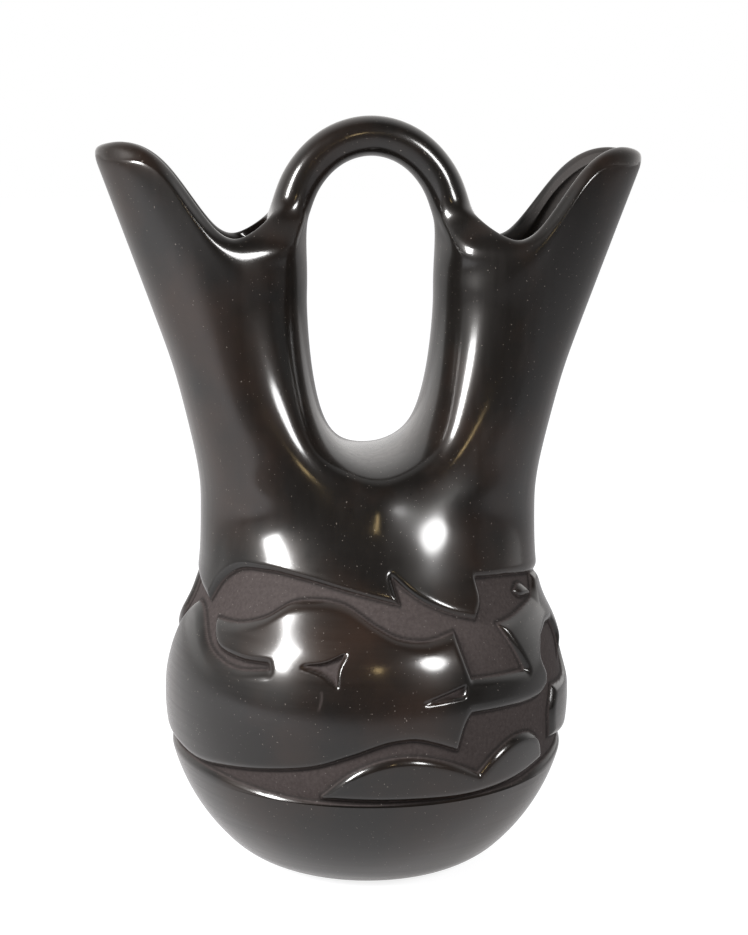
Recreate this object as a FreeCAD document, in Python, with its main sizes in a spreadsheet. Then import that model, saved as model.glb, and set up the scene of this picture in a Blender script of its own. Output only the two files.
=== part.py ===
import FreeCAD, Part
import math
import os
import Sketcher

# Pueblo pottery jar: a polished blackware wedding vase, in millimetres.
# The origin is the middle of the foot, +Z is up and the carved front faces -Y.

doc = FreeCAD.newDocument("pueblo_pottery_jar")
HALF = 0.5
NEAR_SHARE = 1e-6

SIZES = {
    # Bowl and belly
    "belly_radius": 70.0,  # outer radius of the round belly
    "belly_sink": 12.0,  # how much of the belly's ball the foot cuts off
    "foot_radius": 29.0,  # radius of the flat foot
    "wall_thickness": 7.0,  # thickness of the bowl's and the belly's wall
    "bowl_edge_drop": 20.0,  # the moulded bowl's upper edge below the belly's middle
    "shoulder_rise": 28.0,  # the shoulder above the belly's middle
    "band_rise": 24.0,  # the top of the carved design above the shoulder
    "carving_depth": 2.4,  # depth of the carving
    "carving_lap": 1.5,  # how far neighbouring pieces of one raised form reach over each other
    # Neck sections, each above the one before, with half widths and half depths
    "neck_low_step": 8.0,
    "neck_low_width": 60.4,
    "neck_low_depth": 59.2,
    "neck_mid_step": 10.0,
    "neck_mid_width": 58.2,
    "neck_mid_depth": 51.6,
    "neck_high_step": 11.0,
    "neck_high_width": 57.6,
    "neck_high_depth": 44.4,
    "neck_top_step": 7.0,
    "neck_top_width": 57.5,
    "neck_top_depth": 41.2,
    # Saddle between the spouts
    "saddle_rise": 20.5,  # its crest above the neck's top
    "saddle_run": 31.0,  # how strongly the saddle leaves the middle plane
    "neck_lean": 9.0,  # how far the neck's front leans in over the saddle's climb
    "seam_run": 72.0,  # how strongly the middle of each spout's front leaves sideways
    "seam_climb": 26.0,  # how strongly the middle of each spout's front leaves upwards
    # Spout sections, each above the one before: faces from the middle plane, and half depths
    "spout_wall": 6.5,
    "leg_step": 43.0,
    "leg_inner": 19.3,
    "leg_outer": 64.6,
    "leg_depth": 26.5,
    "waist_step": 25.0,
    "waist_inner": 21.3,
    "waist_outer": 73.2,
    "waist_depth": 26.0,
    "mouth_step": 24.0,
    "mouth_inner": 21.6,
    "mouth_outer": 81.8,
    "mouth_depth": 26.5,
    "flare_step": 18.0,
    "flare_inner": 21.6,
    "flare_outer": 88.6,
    "flare_depth": 24.5,
    "trim_step": 20.0,
    "trim_inner": 21.6,
    "trim_outer": 95.5,
    "trim_depth": 20.0,
    # Swooping rim line: each place further out than the one before, and above the mouth section
    "rim_start_step": 12.0,
    "rim_start_rise": 6.5,
    "rim_inner_step": 22.5,
    "rim_inner_rise": 2.2,
    "rim_low_step": 11.5,
    "rim_low_rise": -1.2,
    "rim_slope_step": 12.0,
    "rim_slope_rise": 5.2,
    "rim_steep_step": 12.0,
    "rim_steep_rise": 22.8,
    "rim_tip_step": 10.5,
    "rim_tip_rise": 30.6,
    "rim_crown_step": 9.5,
    "rim_crown_rise": 30.4,
    "rim_end_step": 14.0,
    "rim_end_rise": 22.0,
    "lip_rounding": 2.0,  # rounding of the lip's edges
    # Stirrup handle
    "arch_centre_rise": 1.0,  # the arch's centre above the mouth section
    "arch_set": 6.2,  # the arch's middle line inside the spouts' facing walls
    "arch_rise": 39.0,  # the arch's top above its centre
    "foot_rise": 5.0,  # the stirrup's joint faces above the arch's centre
    "rod_thickness": 13.2,
    "rod_depth": 14.2,
    # Roots that carry the stirrup, below its joint faces
    "root_flare_drop": 7.0,
    "root_flare_width": 18.0,
    "root_flare_depth": 22.0,
    "root_low_drop": 22.0,
}

# Heights above the table and distances from the middle plane that follow from the sizes
PLACES = {
    "belly_middle_height": "sizes.belly_radius - sizes.belly_sink",
    "bowl_height": "belly_middle_height - sizes.bowl_edge_drop",
    "shoulder_height": "belly_middle_height + sizes.shoulder_rise",
    "band_top_height": "shoulder_height + sizes.band_rise",
    "neck_low_height": "shoulder_height + sizes.neck_low_step",
    "neck_mid_height": "neck_low_height + sizes.neck_mid_step",
    "neck_high_height": "neck_mid_height + sizes.neck_high_step",
    "neck_top_height": "neck_high_height + sizes.neck_top_step",
    "saddle_height": "neck_top_height + sizes.saddle_rise",
    "leg_height": "neck_top_height + sizes.leg_step",
    "waist_height": "leg_height + sizes.waist_step",
    "mouth_height": "waist_height + sizes.mouth_step",
    "flare_height": "mouth_height + sizes.flare_step",
    "trim_height": "flare_height + sizes.trim_step",
    "arch_centre_height": "mouth_height + sizes.arch_centre_rise",
    "arch_top_height": "arch_centre_height + sizes.arch_rise",
    "arch_half_span": "sizes.mouth_inner + sizes.arch_set",
    "foot_height": "arch_centre_height + sizes.foot_rise",
    "root_flare_height": "foot_height - sizes.root_flare_drop",
    "root_low_height": "foot_height - sizes.root_low_drop",
}
RIM_PLACES = ("rim_start", "rim_inner", "rim_low", "rim_slope", "rim_steep", "rim_tip", "rim_crown", "rim_end")


def make_sheet(name, table, sign):
    sheet = doc.addObject("Spreadsheet::Sheet", name)
    for row, (alias, value) in enumerate(table.items(), 1):
        sheet.set("A%d" % row, alias.replace("_", " "))
        sheet.set("B%d" % row, sign + str(value))
        sheet.setAlias("B%d" % row, alias)
    return sheet


size_sheet = make_sheet("sizes", SIZES, "")
place_sheet = make_sheet("places", PLACES, "=")
doc.recompute()


def val(alias):
    sheet = size_sheet if alias in SIZES else place_sheet
    return float(sheet.get(alias))


def ref(alias):
    return ("sizes." if alias in SIZES else "places.") + alias


def wire_point(x, z):
    return FreeCAD.Vector(x, z, 0)


def upright_sketch(body, name):
    sketch = body.newObject("Sketcher::SketchObject", name)
    for plane in body.Origin.OriginFeatures:
        if plane.Role == "XZ_Plane":
            sketch.AttachmentSupport = [(plane, "")]
    sketch.MapMode = "FlatFace"
    return sketch


def fix(sketch, constraint, alias):
    index = sketch.addConstraint(constraint)
    sketch.setExpression("Constraints[%d]" % index, ref(alias))


def arc(centre, radius, start, end):
    circle = Part.Circle(wire_point(*centre), FreeCAD.Vector(0, 0, 1), radius)
    return Part.ArcOfCircle(circle, start, end)


def spin(body, sketch, name):
    turn = body.newObject("PartDesign::Revolution", name)
    turn.Profile = sketch
    turn.ReferenceAxis = (sketch, ["V_Axis"])
    turn.Angle = 360
    sketch.Visibility = False
    body.Tip = turn
    return turn


# Base bowl: the bottom up to the groove, formed in a mould
def make_base_bowl():
    radius = val("belly_radius")
    middle = val("belly_middle_height")
    foot = val("foot_radius")
    wall = val("wall_thickness")
    top = val("bowl_height")
    # The foot's curve touches both the table and the belly's curve.
    turn_in = (radius ** 2 - foot ** 2 - middle ** 2) / (2 * (radius - middle))
    touch = -math.atan2(middle - turn_in, foot)
    outer_end = math.asin((top - middle) / radius)
    inner_end = math.asin((top - middle) / (radius - wall))
    quarter = math.pi * HALF
    body = doc.addObject("PartDesign::Body", "base_bowl_body")
    sketch = upright_sketch(body, "base_bowl_profile")
    outer_edge = radius * math.cos(outer_end)
    inner_edge = (radius - wall) * math.cos(inner_end)
    pieces = [
        Part.LineSegment(wire_point(0, 0), wire_point(foot, 0)),
        arc((foot, turn_in), turn_in, -quarter, touch),
        arc((0, middle), radius, touch, outer_end),
        Part.LineSegment(wire_point(outer_edge, top), wire_point(inner_edge, top)),
        arc((0, middle), radius - wall, touch, inner_end),
        arc((foot, turn_in), turn_in - wall, -quarter, touch),
        Part.LineSegment(wire_point(foot, wall), wire_point(0, wall)),
        Part.LineSegment(wire_point(0, wall), wire_point(0, 0)),
    ]
    (floor, heel, skin, edge, lining, hollow, bed, axis) = sketch.addGeometry(pieces, False)
    sketch.addConstraint(Sketcher.Constraint("Coincident", floor, 1, -1, 1))
    sketch.addConstraint(Sketcher.Constraint("Horizontal", floor))
    sketch.addConstraint(Sketcher.Constraint("Tangent", floor, 2, heel, 1))
    sketch.addConstraint(Sketcher.Constraint("Tangent", heel, 2, skin, 1))
    sketch.addConstraint(Sketcher.Constraint("PointOnObject", skin, 3, -2))
    sketch.addConstraint(Sketcher.Constraint("Coincident", skin, 2, edge, 1))
    sketch.addConstraint(Sketcher.Constraint("Horizontal", edge))
    sketch.addConstraint(Sketcher.Constraint("Coincident", edge, 2, lining, 2))
    sketch.addConstraint(Sketcher.Constraint("Coincident", lining, 3, skin, 3))
    sketch.addConstraint(Sketcher.Constraint("Tangent", hollow, 2, lining, 1))
    sketch.addConstraint(Sketcher.Constraint("Coincident", hollow, 3, heel, 3))
    sketch.addConstraint(Sketcher.Constraint("Coincident", hollow, 1, bed, 1))
    sketch.addConstraint(Sketcher.Constraint("Horizontal", bed))
    sketch.addConstraint(Sketcher.Constraint("Coincident", bed, 2, axis, 1))
    sketch.addConstraint(Sketcher.Constraint("Vertical", axis))
    sketch.addConstraint(Sketcher.Constraint("Coincident", axis, 2, floor, 1))
    sketch.addConstraint(Sketcher.Constraint("Vertical", bed, 1, heel, 3))
    fix(sketch, Sketcher.Constraint("DistanceX", -1, 1, floor, 2, foot), "foot_radius")
    fix(sketch, Sketcher.Constraint("DistanceY", -1, 1, skin, 3, middle), "belly_middle_height")
    fix(sketch, Sketcher.Constraint("Radius", skin, radius), "belly_radius")
    fix(sketch, Sketcher.Constraint("DistanceY", -1, 1, edge, 1, top), "bowl_height")
    fix(sketch, Sketcher.Constraint("DistanceY", -1, 1, bed, 2, wall), "wall_thickness")
    spin(body, sketch, "base_bowl_turn")
    return body


# Belly wall: the coil-built round wall from the groove to the shoulder
def make_belly_blank():
    radius = val("belly_radius")
    middle = val("belly_middle_height")
    wall = val("wall_thickness")
    low = val("bowl_height")
    top = val("shoulder_height")
    body = doc.addObject("PartDesign::Body", "belly_blank")
    sketch = upright_sketch(body, "belly_profile")

    def angle(reach, height):
        return math.asin((height - middle) / reach)

    def spot(reach, height):
        return wire_point(reach * math.cos(angle(reach, height)), height)

    inside = radius - wall
    pieces = [
        arc((0, middle), radius, angle(radius, low), angle(radius, top)),
        Part.LineSegment(spot(radius, top), spot(inside, top)),
        arc((0, middle), inside, angle(inside, low), angle(inside, top)),
        Part.LineSegment(spot(inside, low), spot(radius, low)),
    ]
    (skin, brow, lining, seat) = sketch.addGeometry(pieces, False)
    sketch.addConstraint(Sketcher.Constraint("PointOnObject", skin, 3, -2))
    sketch.addConstraint(Sketcher.Constraint("Coincident", skin, 2, brow, 1))
    sketch.addConstraint(Sketcher.Constraint("Horizontal", brow))
    sketch.addConstraint(Sketcher.Constraint("Coincident", brow, 2, lining, 2))
    sketch.addConstraint(Sketcher.Constraint("Coincident", lining, 3, skin, 3))
    sketch.addConstraint(Sketcher.Constraint("Coincident", lining, 1, seat, 1))
    sketch.addConstraint(Sketcher.Constraint("Horizontal", seat))
    sketch.addConstraint(Sketcher.Constraint("Coincident", seat, 2, skin, 1))
    fix(sketch, Sketcher.Constraint("DistanceY", -1, 1, skin, 3, middle), "belly_middle_height")
    fix(sketch, Sketcher.Constraint("Radius", skin, radius), "belly_radius")
    index = sketch.addConstraint(Sketcher.Constraint("Radius", lining, inside))
    sketch.setExpression("Constraints[%d]" % index, "sizes.belly_radius - sizes.wall_thickness")
    fix(sketch, Sketcher.Constraint("DistanceY", -1, 1, brow, 1, top), "shoulder_height")
    fix(sketch, Sketcher.Constraint("DistanceY", -1, 1, seat, 2, low), "bowl_height")
    spin(body, sketch, "belly_turn")
    return body


NECK_LEVELS = ("neck_low", "neck_mid", "neck_high", "neck_top")


# Neck: a collar that turns from a circle at the shoulder to an oval under the spouts
def neck_ring(name, height, width, depth):
    ring = doc.addObject("Part::Ellipse", name)
    ring.setExpression("MajorRadius", width)
    ring.setExpression("MinorRadius", depth)
    ring.setExpression("Placement.Base.z", height)
    ring.Visibility = False
    return ring


def make_neck():
    shells = []
    for side in ("outer", "inner"):
        thick = " - sizes.wall_thickness" if side == "inner" else ""
        take = " - sizes.spout_wall" if side == "inner" else ""
        circle = "sqrt((sizes.belly_radius%s)^2 - sizes.shoulder_rise^2)" % thick
        rings = [neck_ring("neck_%s_shoulder" % side, "places.shoulder_height", circle, circle)]
        for level in NECK_LEVELS:
            width = "sizes.%s_width%s" % (level, take)
            depth = "sizes.%s_depth%s" % (level, take)
            rings.append(neck_ring("%s_%s" % (level, side), "places.%s_height" % level, width, depth))
        loft = doc.addObject("Part::Loft", "neck_%s" % side)
        loft.Sections = rings
        loft.Solid = True
        loft.Ruled = False
        shells.append(loft)
    neck = doc.addObject("Part::Cut", "neck_tube")
    neck.Base = shells[0]
    neck.Tool = shells[1]
    return neck


# Spouts: each rises from half of the neck's oval and half of the saddle
STATIONS = ("leg", "waist", "mouth", "flare", "trim")
SIDE_POINTS = 13
CLIMB_STEPS = 5
SADDLE_POWER_SHARE = 0.7


def spout_rows(side, inset):
    """Closed sections of one spout as (outer half, inner half) lists of points."""
    base = val("neck_top_height")
    wide = val("neck_top_width") - inset
    deep = val("neck_top_depth") - inset
    rise = val("saddle_rise") - inset
    run = val("saddle_run")
    levels = [val(name + "_height") for name in STATIONS]
    inner = [val(name + "_inner") + inset for name in STATIONS]
    outer = [val(name + "_outer") - inset for name in STATIONS]
    depth = [val(name + "_depth") - inset for name in STATIONS]
    climb = levels[0] - base

    def station(index, turn):
        middle = (inner[index] + outer[index]) * HALF
        half = (outer[index] - inner[index]) * HALF
        across = middle + half * math.cos(turn)
        return FreeCAD.Vector(across, depth[index] * math.sin(turn), levels[index])

    def start(turn):
        if math.cos(turn) >= -NEAR_SHARE:
            return FreeCAD.Vector(wide * math.cos(turn), deep * math.sin(turn), base)
        # The saddle is a squarer arch than an ellipse.
        across = math.copysign(abs(math.sin(turn)) ** SADDLE_POWER_SHARE, math.sin(turn))
        return FreeCAD.Vector(0, deep * across, base + rise * abs(math.cos(turn)) ** SADDLE_POWER_SHARE)

    def leave(turn):
        # The skin leaves the neck upwards, the saddle sideways and their corner both ways.
        share = abs(math.sin(turn)) ** 3
        lean = -val("neck_lean") * math.sin(turn) * share
        up = FreeCAD.Vector(0, 0, climb)
        out = FreeCAD.Vector(run, 0, 0)
        corner = FreeCAD.Vector(val("seam_run"), 0, val("seam_climb"))
        plain = up if math.cos(turn) >= 0 else out
        return plain * (1 - share) + corner * share + FreeCAD.Vector(0, lean, 0)

    def arrive(turn):
        rest = climb if math.cos(turn) >= 0 else climb - rise * abs(math.cos(turn))
        step = (station(1, turn) - station(0, turn)) * (rest / (levels[1] - levels[0]))
        return step

    turns_out = [(-HALF + i / (SIDE_POINTS - 1)) * math.pi for i in range(SIDE_POINTS)]
    turns_in = [(HALF + i / (SIDE_POINTS - 1)) * math.pi for i in range(SIDE_POINTS)]
    rows = []
    for step in range(CLIMB_STEPS):
        s = step / CLIMB_STEPS
        h_start = 2 * s ** 3 - 3 * s ** 2 + 1
        h_end = 3 * s ** 2 - 2 * s ** 3
        h_leave = s ** 3 - 2 * s ** 2 + s
        h_arrive = s ** 3 - s ** 2
        row = []
        for turns in (turns_out, turns_in):
            line = []
            for turn in turns:
                point = start(turn) * h_start + station(0, turn) * h_end
                point += leave(turn) * h_leave + arrive(turn) * h_arrive
                line.append(point)
            row.append(line)
        rows.append(row)
    for index in range(len(STATIONS)):
        rows.append([[station(index, turn) for turn in turns] for turns in (turns_out, turns_in)])
    for row in rows:
        for line in row:
            for i, point in enumerate(line):
                line[i] = FreeCAD.Vector(side * point.x, point.y, point.z)
    return rows


def through(points, marks):
    curve = Part.BSplineCurve()
    curve.interpolate(Points=points, Parameters=marks)
    return curve


def woven_skin(rows, marks):
    """One smooth face through rows of points, woven both ways."""
    shares = [i / (len(rows[0]) - 1) for i in range(len(rows[0]))]
    across = [through(row, shares) for row in rows]
    columns = zip(*[curve.getPoles() for curve in across])
    along = [through(list(column), marks) for column in columns]
    surface = Part.BSplineSurface()
    surface.buildFromPolesMultsKnots(
        [curve.getPoles() for curve in along],
        across[0].getMultiplicities(), along[0].getMultiplicities(),
        across[0].getKnots(), along[0].getKnots(),
        False, False, across[0].Degree, along[0].Degree)
    return surface.toShape()


def end_edges(face, height_end):
    """The face's edge at its first row, or at its last one."""
    surface = face.Surface
    knots = surface.getVKnots()
    return surface.vIso(knots[-1] if height_end else knots[0]).toShape()


def spout_shell(side):
    """The spout's outer skin, its bore, both joint faces and the flat untrimmed end."""
    base = val("neck_top_height")
    marks = [(val("leg_height") - base) * step / CLIMB_STEPS for step in range(CLIMB_STEPS)]
    marks += [val(name + "_height") - base for name in STATIONS]
    faces = []
    loops = []
    for inset in (0, val("spout_wall")):
        rows = spout_rows(side, inset)
        skins = [woven_skin([row[half] for row in rows], marks) for half in range(len(rows[0]))]
        faces += skins
        loops.append([[end_edges(skin, far) for skin in skins] for far in (False, True)])

    def bridge(a, b):
        return Part.LineSegment(a.Point, b.Point).toShape()

    for half in range(2):
        outer = loops[0][0][half]
        inner = loops[1][0][half]
        first = bridge(outer.firstVertex(), inner.firstVertex())
        last = bridge(outer.lastVertex(), inner.lastVertex())
        faces.append(Part.Face(Part.Wire(Part.__sortEdges__([outer, last, inner, first]))))
    rings = [Part.Wire(Part.__sortEdges__(loop[1])) for loop in loops]
    faces.append(Part.Face(rings))
    shell = Part.Shell(faces)
    shell.sewShape()
    solid = Part.Solid(shell)
    if not solid.isValid():
        solid.fix(NEAR_SHARE, NEAR_SHARE, NEAR_SHARE)
    if solid.Volume < 0:
        solid.reverse()
    return solid


def fixed_shape(name, shape):
    item = doc.addObject("Part::Feature", name)
    item.Shape = shape
    item.Visibility = False
    return item


def rim_tool(side, name):
    """Everything above the swooping rim line, through the whole depth."""
    reach = 2 * val("belly_radius")
    out = 0
    points = []
    for place in RIM_PLACES:
        out += val(place + "_step")
        height = val("mouth_height") + val(place + "_rise")
        points.append(FreeCAD.Vector(side * out, -reach, height))
    curve = Part.BSplineCurve()
    curve.interpolate(points)
    top = 2 * val("arch_top_height")
    first = points[0]
    last = points[-1]
    corners = [last, FreeCAD.Vector(last.x, -reach, top), FreeCAD.Vector(first.x, -reach, top), first]
    edges = [curve.toShape()]
    for a, b in zip(corners, corners[1:]):
        edges.append(Part.LineSegment(a, b).toShape())
    face = Part.Face(Part.Wire(edges))
    return fixed_shape(name, face.extrude(FreeCAD.Vector(0, 2 * reach, 0)))


def handle_x(height):
    """The arch's middle line at a height."""
    rise = val("arch_rise") - val("rod_thickness") * HALF
    share = (height - val("arch_centre_height")) / rise
    return val("arch_half_span") * math.sqrt(1 - share ** 2)


def root_shape(side):
    """The clay that carries the stirrup, flaring down into the spout's inner wall."""
    top = val("foot_height")
    wall = val("spout_wall")
    skin = val("mouth_inner")
    flare_reach = val("root_flare_width") * HALF
    layers = [
        (top, handle_x(top), val("rod_thickness") * HALF, val("rod_depth") * HALF),
        (val("root_flare_height"), skin + flare_reach, flare_reach, val("root_flare_depth") * HALF),
        (val("root_low_height"), skin + wall * HALF, wall * HALF * HALF, val("rod_depth") * HALF),
    ]
    wires = []
    for height, x, half_width, half_depth in layers:
        points = []
        for i in range(2 * SIDE_POINTS):
            turn = math.pi * i / SIDE_POINTS
            across = side * (x + half_width * math.cos(turn))
            points.append(FreeCAD.Vector(across, half_depth * math.sin(turn), height))
        curve = Part.BSplineCurve()
        curve.interpolate(Points=points, PeriodicFlag=True)
        wires.append(Part.Wire([curve.toShape()]))
    return Part.makeLoft(wires, True, False)


# A lip that can't take the whole rounding gets the next share of it.
ROUNDING_SHARES = (1.0, 0.95, 0.9, 0.8, 0.7, 0.6, 0.5, 0.3)


def lip_edges(shape):
    """Numbers of the edges round the trimmed rim face, which is the highest wavy face."""
    rims = [face for face in shape.Faces if isinstance(face.Surface, Part.SurfaceOfExtrusion)]
    rim = max(rims, key=lambda face: face.Area)
    numbers = []
    for number, edge in enumerate(shape.Edges, 1):
        if any(edge.isSame(other) for other in rim.Edges):
            numbers.append(number)
    return numbers


def make_spout(side, name):
    tube = fixed_shape(name + "_tube", spout_shell(side))
    trimmed = doc.addObject("Part::Cut", name + "_trimmed")
    trimmed.Base = tube
    trimmed.Tool = rim_tool(side, name + "_rim_line")
    doc.recompute()
    lip = doc.addObject("Part::Fillet", name + "_lip")
    lip.Base = trimmed
    numbers = lip_edges(trimmed.Shape)
    for share in ROUNDING_SHARES:
        radius = share * val("lip_rounding")
        lip.Edges = [(number, radius, radius) for number in numbers]
        lip.recompute()
        if not lip.Shape.isNull() and lip.Shape.isValid():
            break
    root = fixed_shape(name + "_root", root_shape(side))
    whole = doc.addObject("Part::Fuse", name)
    whole.Base = lip
    whole.Tool = root
    return whole


# Stirrup handle: a round coil bent over the gap and seated on both spouts
def make_handle():
    body = doc.addObject("PartDesign::Body", "stirrup_body")
    span = val("arch_half_span")
    centre = val("arch_centre_height")
    rise = val("arch_rise") - val("rod_thickness") * HALF
    spine = upright_sketch(body, "stirrup_line")
    if rise >= span:
        oval = Part.Ellipse(wire_point(0, centre + rise), wire_point(span, centre), wire_point(0, centre))
        bend = Part.ArcOfEllipse(oval, -math.pi * HALF, math.pi * HALF)
    else:
        oval = Part.Ellipse(wire_point(span, centre), wire_point(0, centre + rise), wire_point(0, centre))
        bend = Part.ArcOfEllipse(oval, 0, math.pi)
    spine.addGeometry(bend, False)
    section = body.newObject("Sketcher::SketchObject", "stirrup_section")
    for plane in body.Origin.OriginFeatures:
        if plane.Role == "XY_Plane":
            section.AttachmentSupport = [(plane, "")]
    section.MapMode = "FlatFace"
    section.setExpression("AttachmentOffset.Base.z", "places.arch_centre_height")
    section.setExpression("AttachmentOffset.Base.x", "places.arch_half_span")
    thick = val("rod_thickness") * HALF
    deep = val("rod_depth") * HALF
    ring = Part.Ellipse(FreeCAD.Vector(0, deep, 0), FreeCAD.Vector(thick, 0, 0), FreeCAD.Vector(0, 0, 0))
    section.addGeometry(ring, False)
    doc.recompute()
    pipe = body.newObject("PartDesign::AdditivePipe", "stirrup_rod")
    pipe.Profile = section
    pipe.Spine = (spine, ["Edge1"])
    body.Tip = pipe
    doc.recompute()
    cut = upright_sketch(body, "stirrup_feet")
    reach = 2 * span
    foot = val("foot_height")
    low = centre - reach
    box = [(-reach, low), (reach, low), (reach, foot), (-reach, foot)]
    corners = [wire_point(x, z) for x, z in box]
    sides = [Part.LineSegment(corners[i], corners[(i + 1) % len(corners)]) for i in range(len(corners))]
    numbers = cut.addGeometry(sides, False)
    for i, number in enumerate(numbers):
        cut.addConstraint(Sketcher.Constraint("Coincident", number, 2, numbers[(i + 1) % len(numbers)], 1))
    fix(cut, Sketcher.Constraint("DistanceY", -1, 1, numbers[2], 1, foot), "foot_height")
    cut.addConstraint(Sketcher.Constraint("Horizontal", numbers[2]))
    trim = body.newObject("PartDesign::Pocket", "stirrup_trim")
    trim.Profile = cut
    trim.Type = "ThroughAll"
    trim.Midplane = True
    body.Tip = trim
    for sketch in (spine, section, cut):
        sketch.Visibility = False
    return body


# Carving: the recessed band between the bowl and the neck, with the raised design left standing.
# Each place is (share of a half turn from the front, share of the band's height).
# A list holds runs: a run of two places is straight, a longer one is smooth.
NECK_EDGE_SHARES = [
    [(-0.386, 0.788), (-0.365, 0.876), (-0.325, 0.951), (-0.254, 0.974), (-0.175, 0.957), (-0.070, 0.912),
     (0.031, 0.861)],
    [(0.031, 0.861), (0.019, 0.971)],
    [(0.019, 0.971), (0.066, 0.885), (0.120, 0.820), (0.176, 0.778)],
    [(0.176, 0.778), (0.201, 0.850), (0.206, 0.944)],
    [(0.206, 0.944), (0.300, 0.925), (0.384, 0.894), (0.520, 0.850), (0.614, 0.788)],
]
SERPENT_SHARES = [
    [(-0.711, 0.420), (-0.640, 0.500), (-0.560, 0.590), (-0.470, 0.660), (-0.400, 0.620), (-0.330, 0.555),
     (-0.258, 0.530), (-0.192, 0.570)],
    [(-0.192, 0.570), (-0.197, 0.624)],
    [(-0.197, 0.624), (-0.254, 0.574), (-0.322, 0.605), (-0.342, 0.732)],
    [(-0.342, 0.732), (-0.270, 0.747), (-0.227, 0.785), (-0.181, 0.857), (-0.134, 0.876), (-0.076, 0.860),
     (-0.014, 0.778), (0.018, 0.738), (0.068, 0.718), (0.124, 0.743)],
    [(0.124, 0.743), (0.130, 0.640), (0.138, 0.549)],
    [(0.138, 0.549), (0.251, 0.532)],
    [(0.251, 0.532), (0.221, 0.743)],
    [(0.221, 0.743), (0.304, 0.746)],
    [(0.304, 0.746), (0.374, 0.638)],
    [(0.374, 0.638), (0.303, 0.649), (0.281, 0.587), (0.287, 0.428)],
    [(0.287, 0.428), (0.255, 0.394)],
    [(0.255, 0.394), (0.132, 0.400)],
    [(0.132, 0.400), (0.126, 0.378), (0.108, 0.240)],
    [(0.108, 0.240), (0.072, 0.282), (0.042, 0.306), (0.010, 0.301), (-0.051, 0.240), (-0.108, 0.179),
     (-0.179, 0.138), (-0.258, 0.103), (-0.338, 0.076), (-0.407, 0.092), (-0.520, 0.110), (-0.640, 0.140),
     (-0.711, 0.180)],
    [(-0.711, 0.180), (-0.720, 0.300), (-0.711, 0.420)],
]
LOW_HILL_SHARES = [
    [(-0.101, 0.060), (-0.051, 0.175), (0.009, 0.232), (0.038, 0.232), (0.086, 0.197), (0.134, 0.126),
     (0.148, 0.040)],
    [(0.148, 0.040), (0.033, 0.028), (-0.101, 0.030)],
    [(-0.101, 0.030), (-0.101, 0.060)],
]
HIGH_HILL_SHARES = [
    [(0.152, 0.060), (0.168, 0.187), (0.218, 0.251), (0.245, 0.250), (0.291, 0.163), (0.300, 0.070)],
    [(0.300, 0.070), (0.225, 0.045), (0.152, 0.040)],
    [(0.152, 0.040), (0.152, 0.060)],
]
CLOUD_SHARES = [
    [(0.270, 0.790), (0.296, 0.830), (0.344, 0.800), (0.326, 0.765), (0.279, 0.772), (0.270, 0.790)],
]
EYE_SHARES = [
    [(-0.132, 0.619), (-0.095, 0.640), (-0.065, 0.681)],
    [(-0.065, 0.681), (-0.076, 0.610), (-0.076, 0.543)],
    [(-0.076, 0.543), (-0.098, 0.590), (-0.132, 0.619)],
]
MOUTH_SHARES = [
    [(0.054, 0.470), (0.090, 0.500), (0.122, 0.525)],
    [(0.122, 0.525), (0.119, 0.485)],
    [(0.119, 0.485), (0.054, 0.470)],
]
REPEATS = 2
WALL_STEPS = 5
WIDEST_SHARE = 0.34


def band_place(place):
    """Turn in radians from the front and height of a design place."""
    turn_share, height_share = place
    low = val("bowl_height")
    return turn_share * math.pi, low + height_share * (val("band_top_height") - low)


def skin_radius(turn, height):
    if height <= val("shoulder_height"):
        return math.sqrt(val("belly_radius") ** 2 - (height - val("belly_middle_height")) ** 2)
    edge = math.sqrt(val("belly_radius") ** 2 - (val("shoulder_height") - val("belly_middle_height")) ** 2)
    steps = [(val("shoulder_height"), edge, edge)]
    for level in NECK_LEVELS:
        steps.append(tuple(val(level + part) for part in ("_height", "_width", "_depth")))
    for (z0, w0, d0), (z1, w1, d1) in zip(steps, steps[1:]):
        if height <= z1:
            share = (height - z0) / (z1 - z0)
            wide = w0 + (w1 - w0) * share
            deep = d0 + (d1 - d0) * share
            return 1 / math.sqrt((math.sin(turn) / wide) ** 2 + (math.cos(turn) / deep) ** 2)
    return val("neck_top_width")


def walk(runs):
    """The design line as close places, each run smooth in itself."""
    line = []
    for run in runs:
        points = [FreeCAD.Vector(a, b, 0) for a, b in (band_place(place) for place in run)]
        scale = val("belly_radius")
        points = [FreeCAD.Vector(p.x * scale, p.y, 0) for p in points]
        if len(points) == 2:
            found = points
        else:
            curve = Part.BSplineCurve()
            curve.interpolate(points)
            found = curve.toShape().discretize(Number=WALL_STEPS * (len(points) - 1) // 2 + 1)
        for p in found:
            spot = (p.x / scale, p.y)
            if not line or math.hypot(spot[0] - line[-1][0], spot[1] - line[-1][1]) > NEAR_SHARE:
                line.append(spot)
    return line


def clipped(line, limit, sign):
    """The closed line cut at one turn angle, the part on one side."""
    kept = []
    for (a, b), (c, d) in zip(line, line[1:] + line[:1]):
        inside = sign * (a - limit) >= 0
        inside_next = sign * (c - limit) >= 0
        if inside:
            kept.append((a, b))
        if inside != inside_next:
            share = (limit - a) / (c - a)
            kept.append((limit, b + (d - b) * share))
    return kept


def prism(line, shift):
    """The solid that stands straight out from the axis through one closed line."""
    turns = [turn for turn, height in line]
    middle = (min(turns) + max(turns)) * HALF
    ahead = FreeCAD.Vector(math.sin(middle + shift), -math.cos(middle + shift), 0)
    aside = FreeCAD.Vector(math.cos(middle + shift), math.sin(middle + shift), 0)
    start = ahead * (val("belly_radius") * HALF * HALF)
    points = []
    for turn, height in line:
        across = skin_radius(turn, height) * math.sin(turn - middle)
        points.append(start + aside * across + FreeCAD.Vector(0, 0, height))
    points.append(points[0])
    return Part.Face(Part.makePolygon(points)).extrude(ahead * val("belly_radius"))


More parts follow.
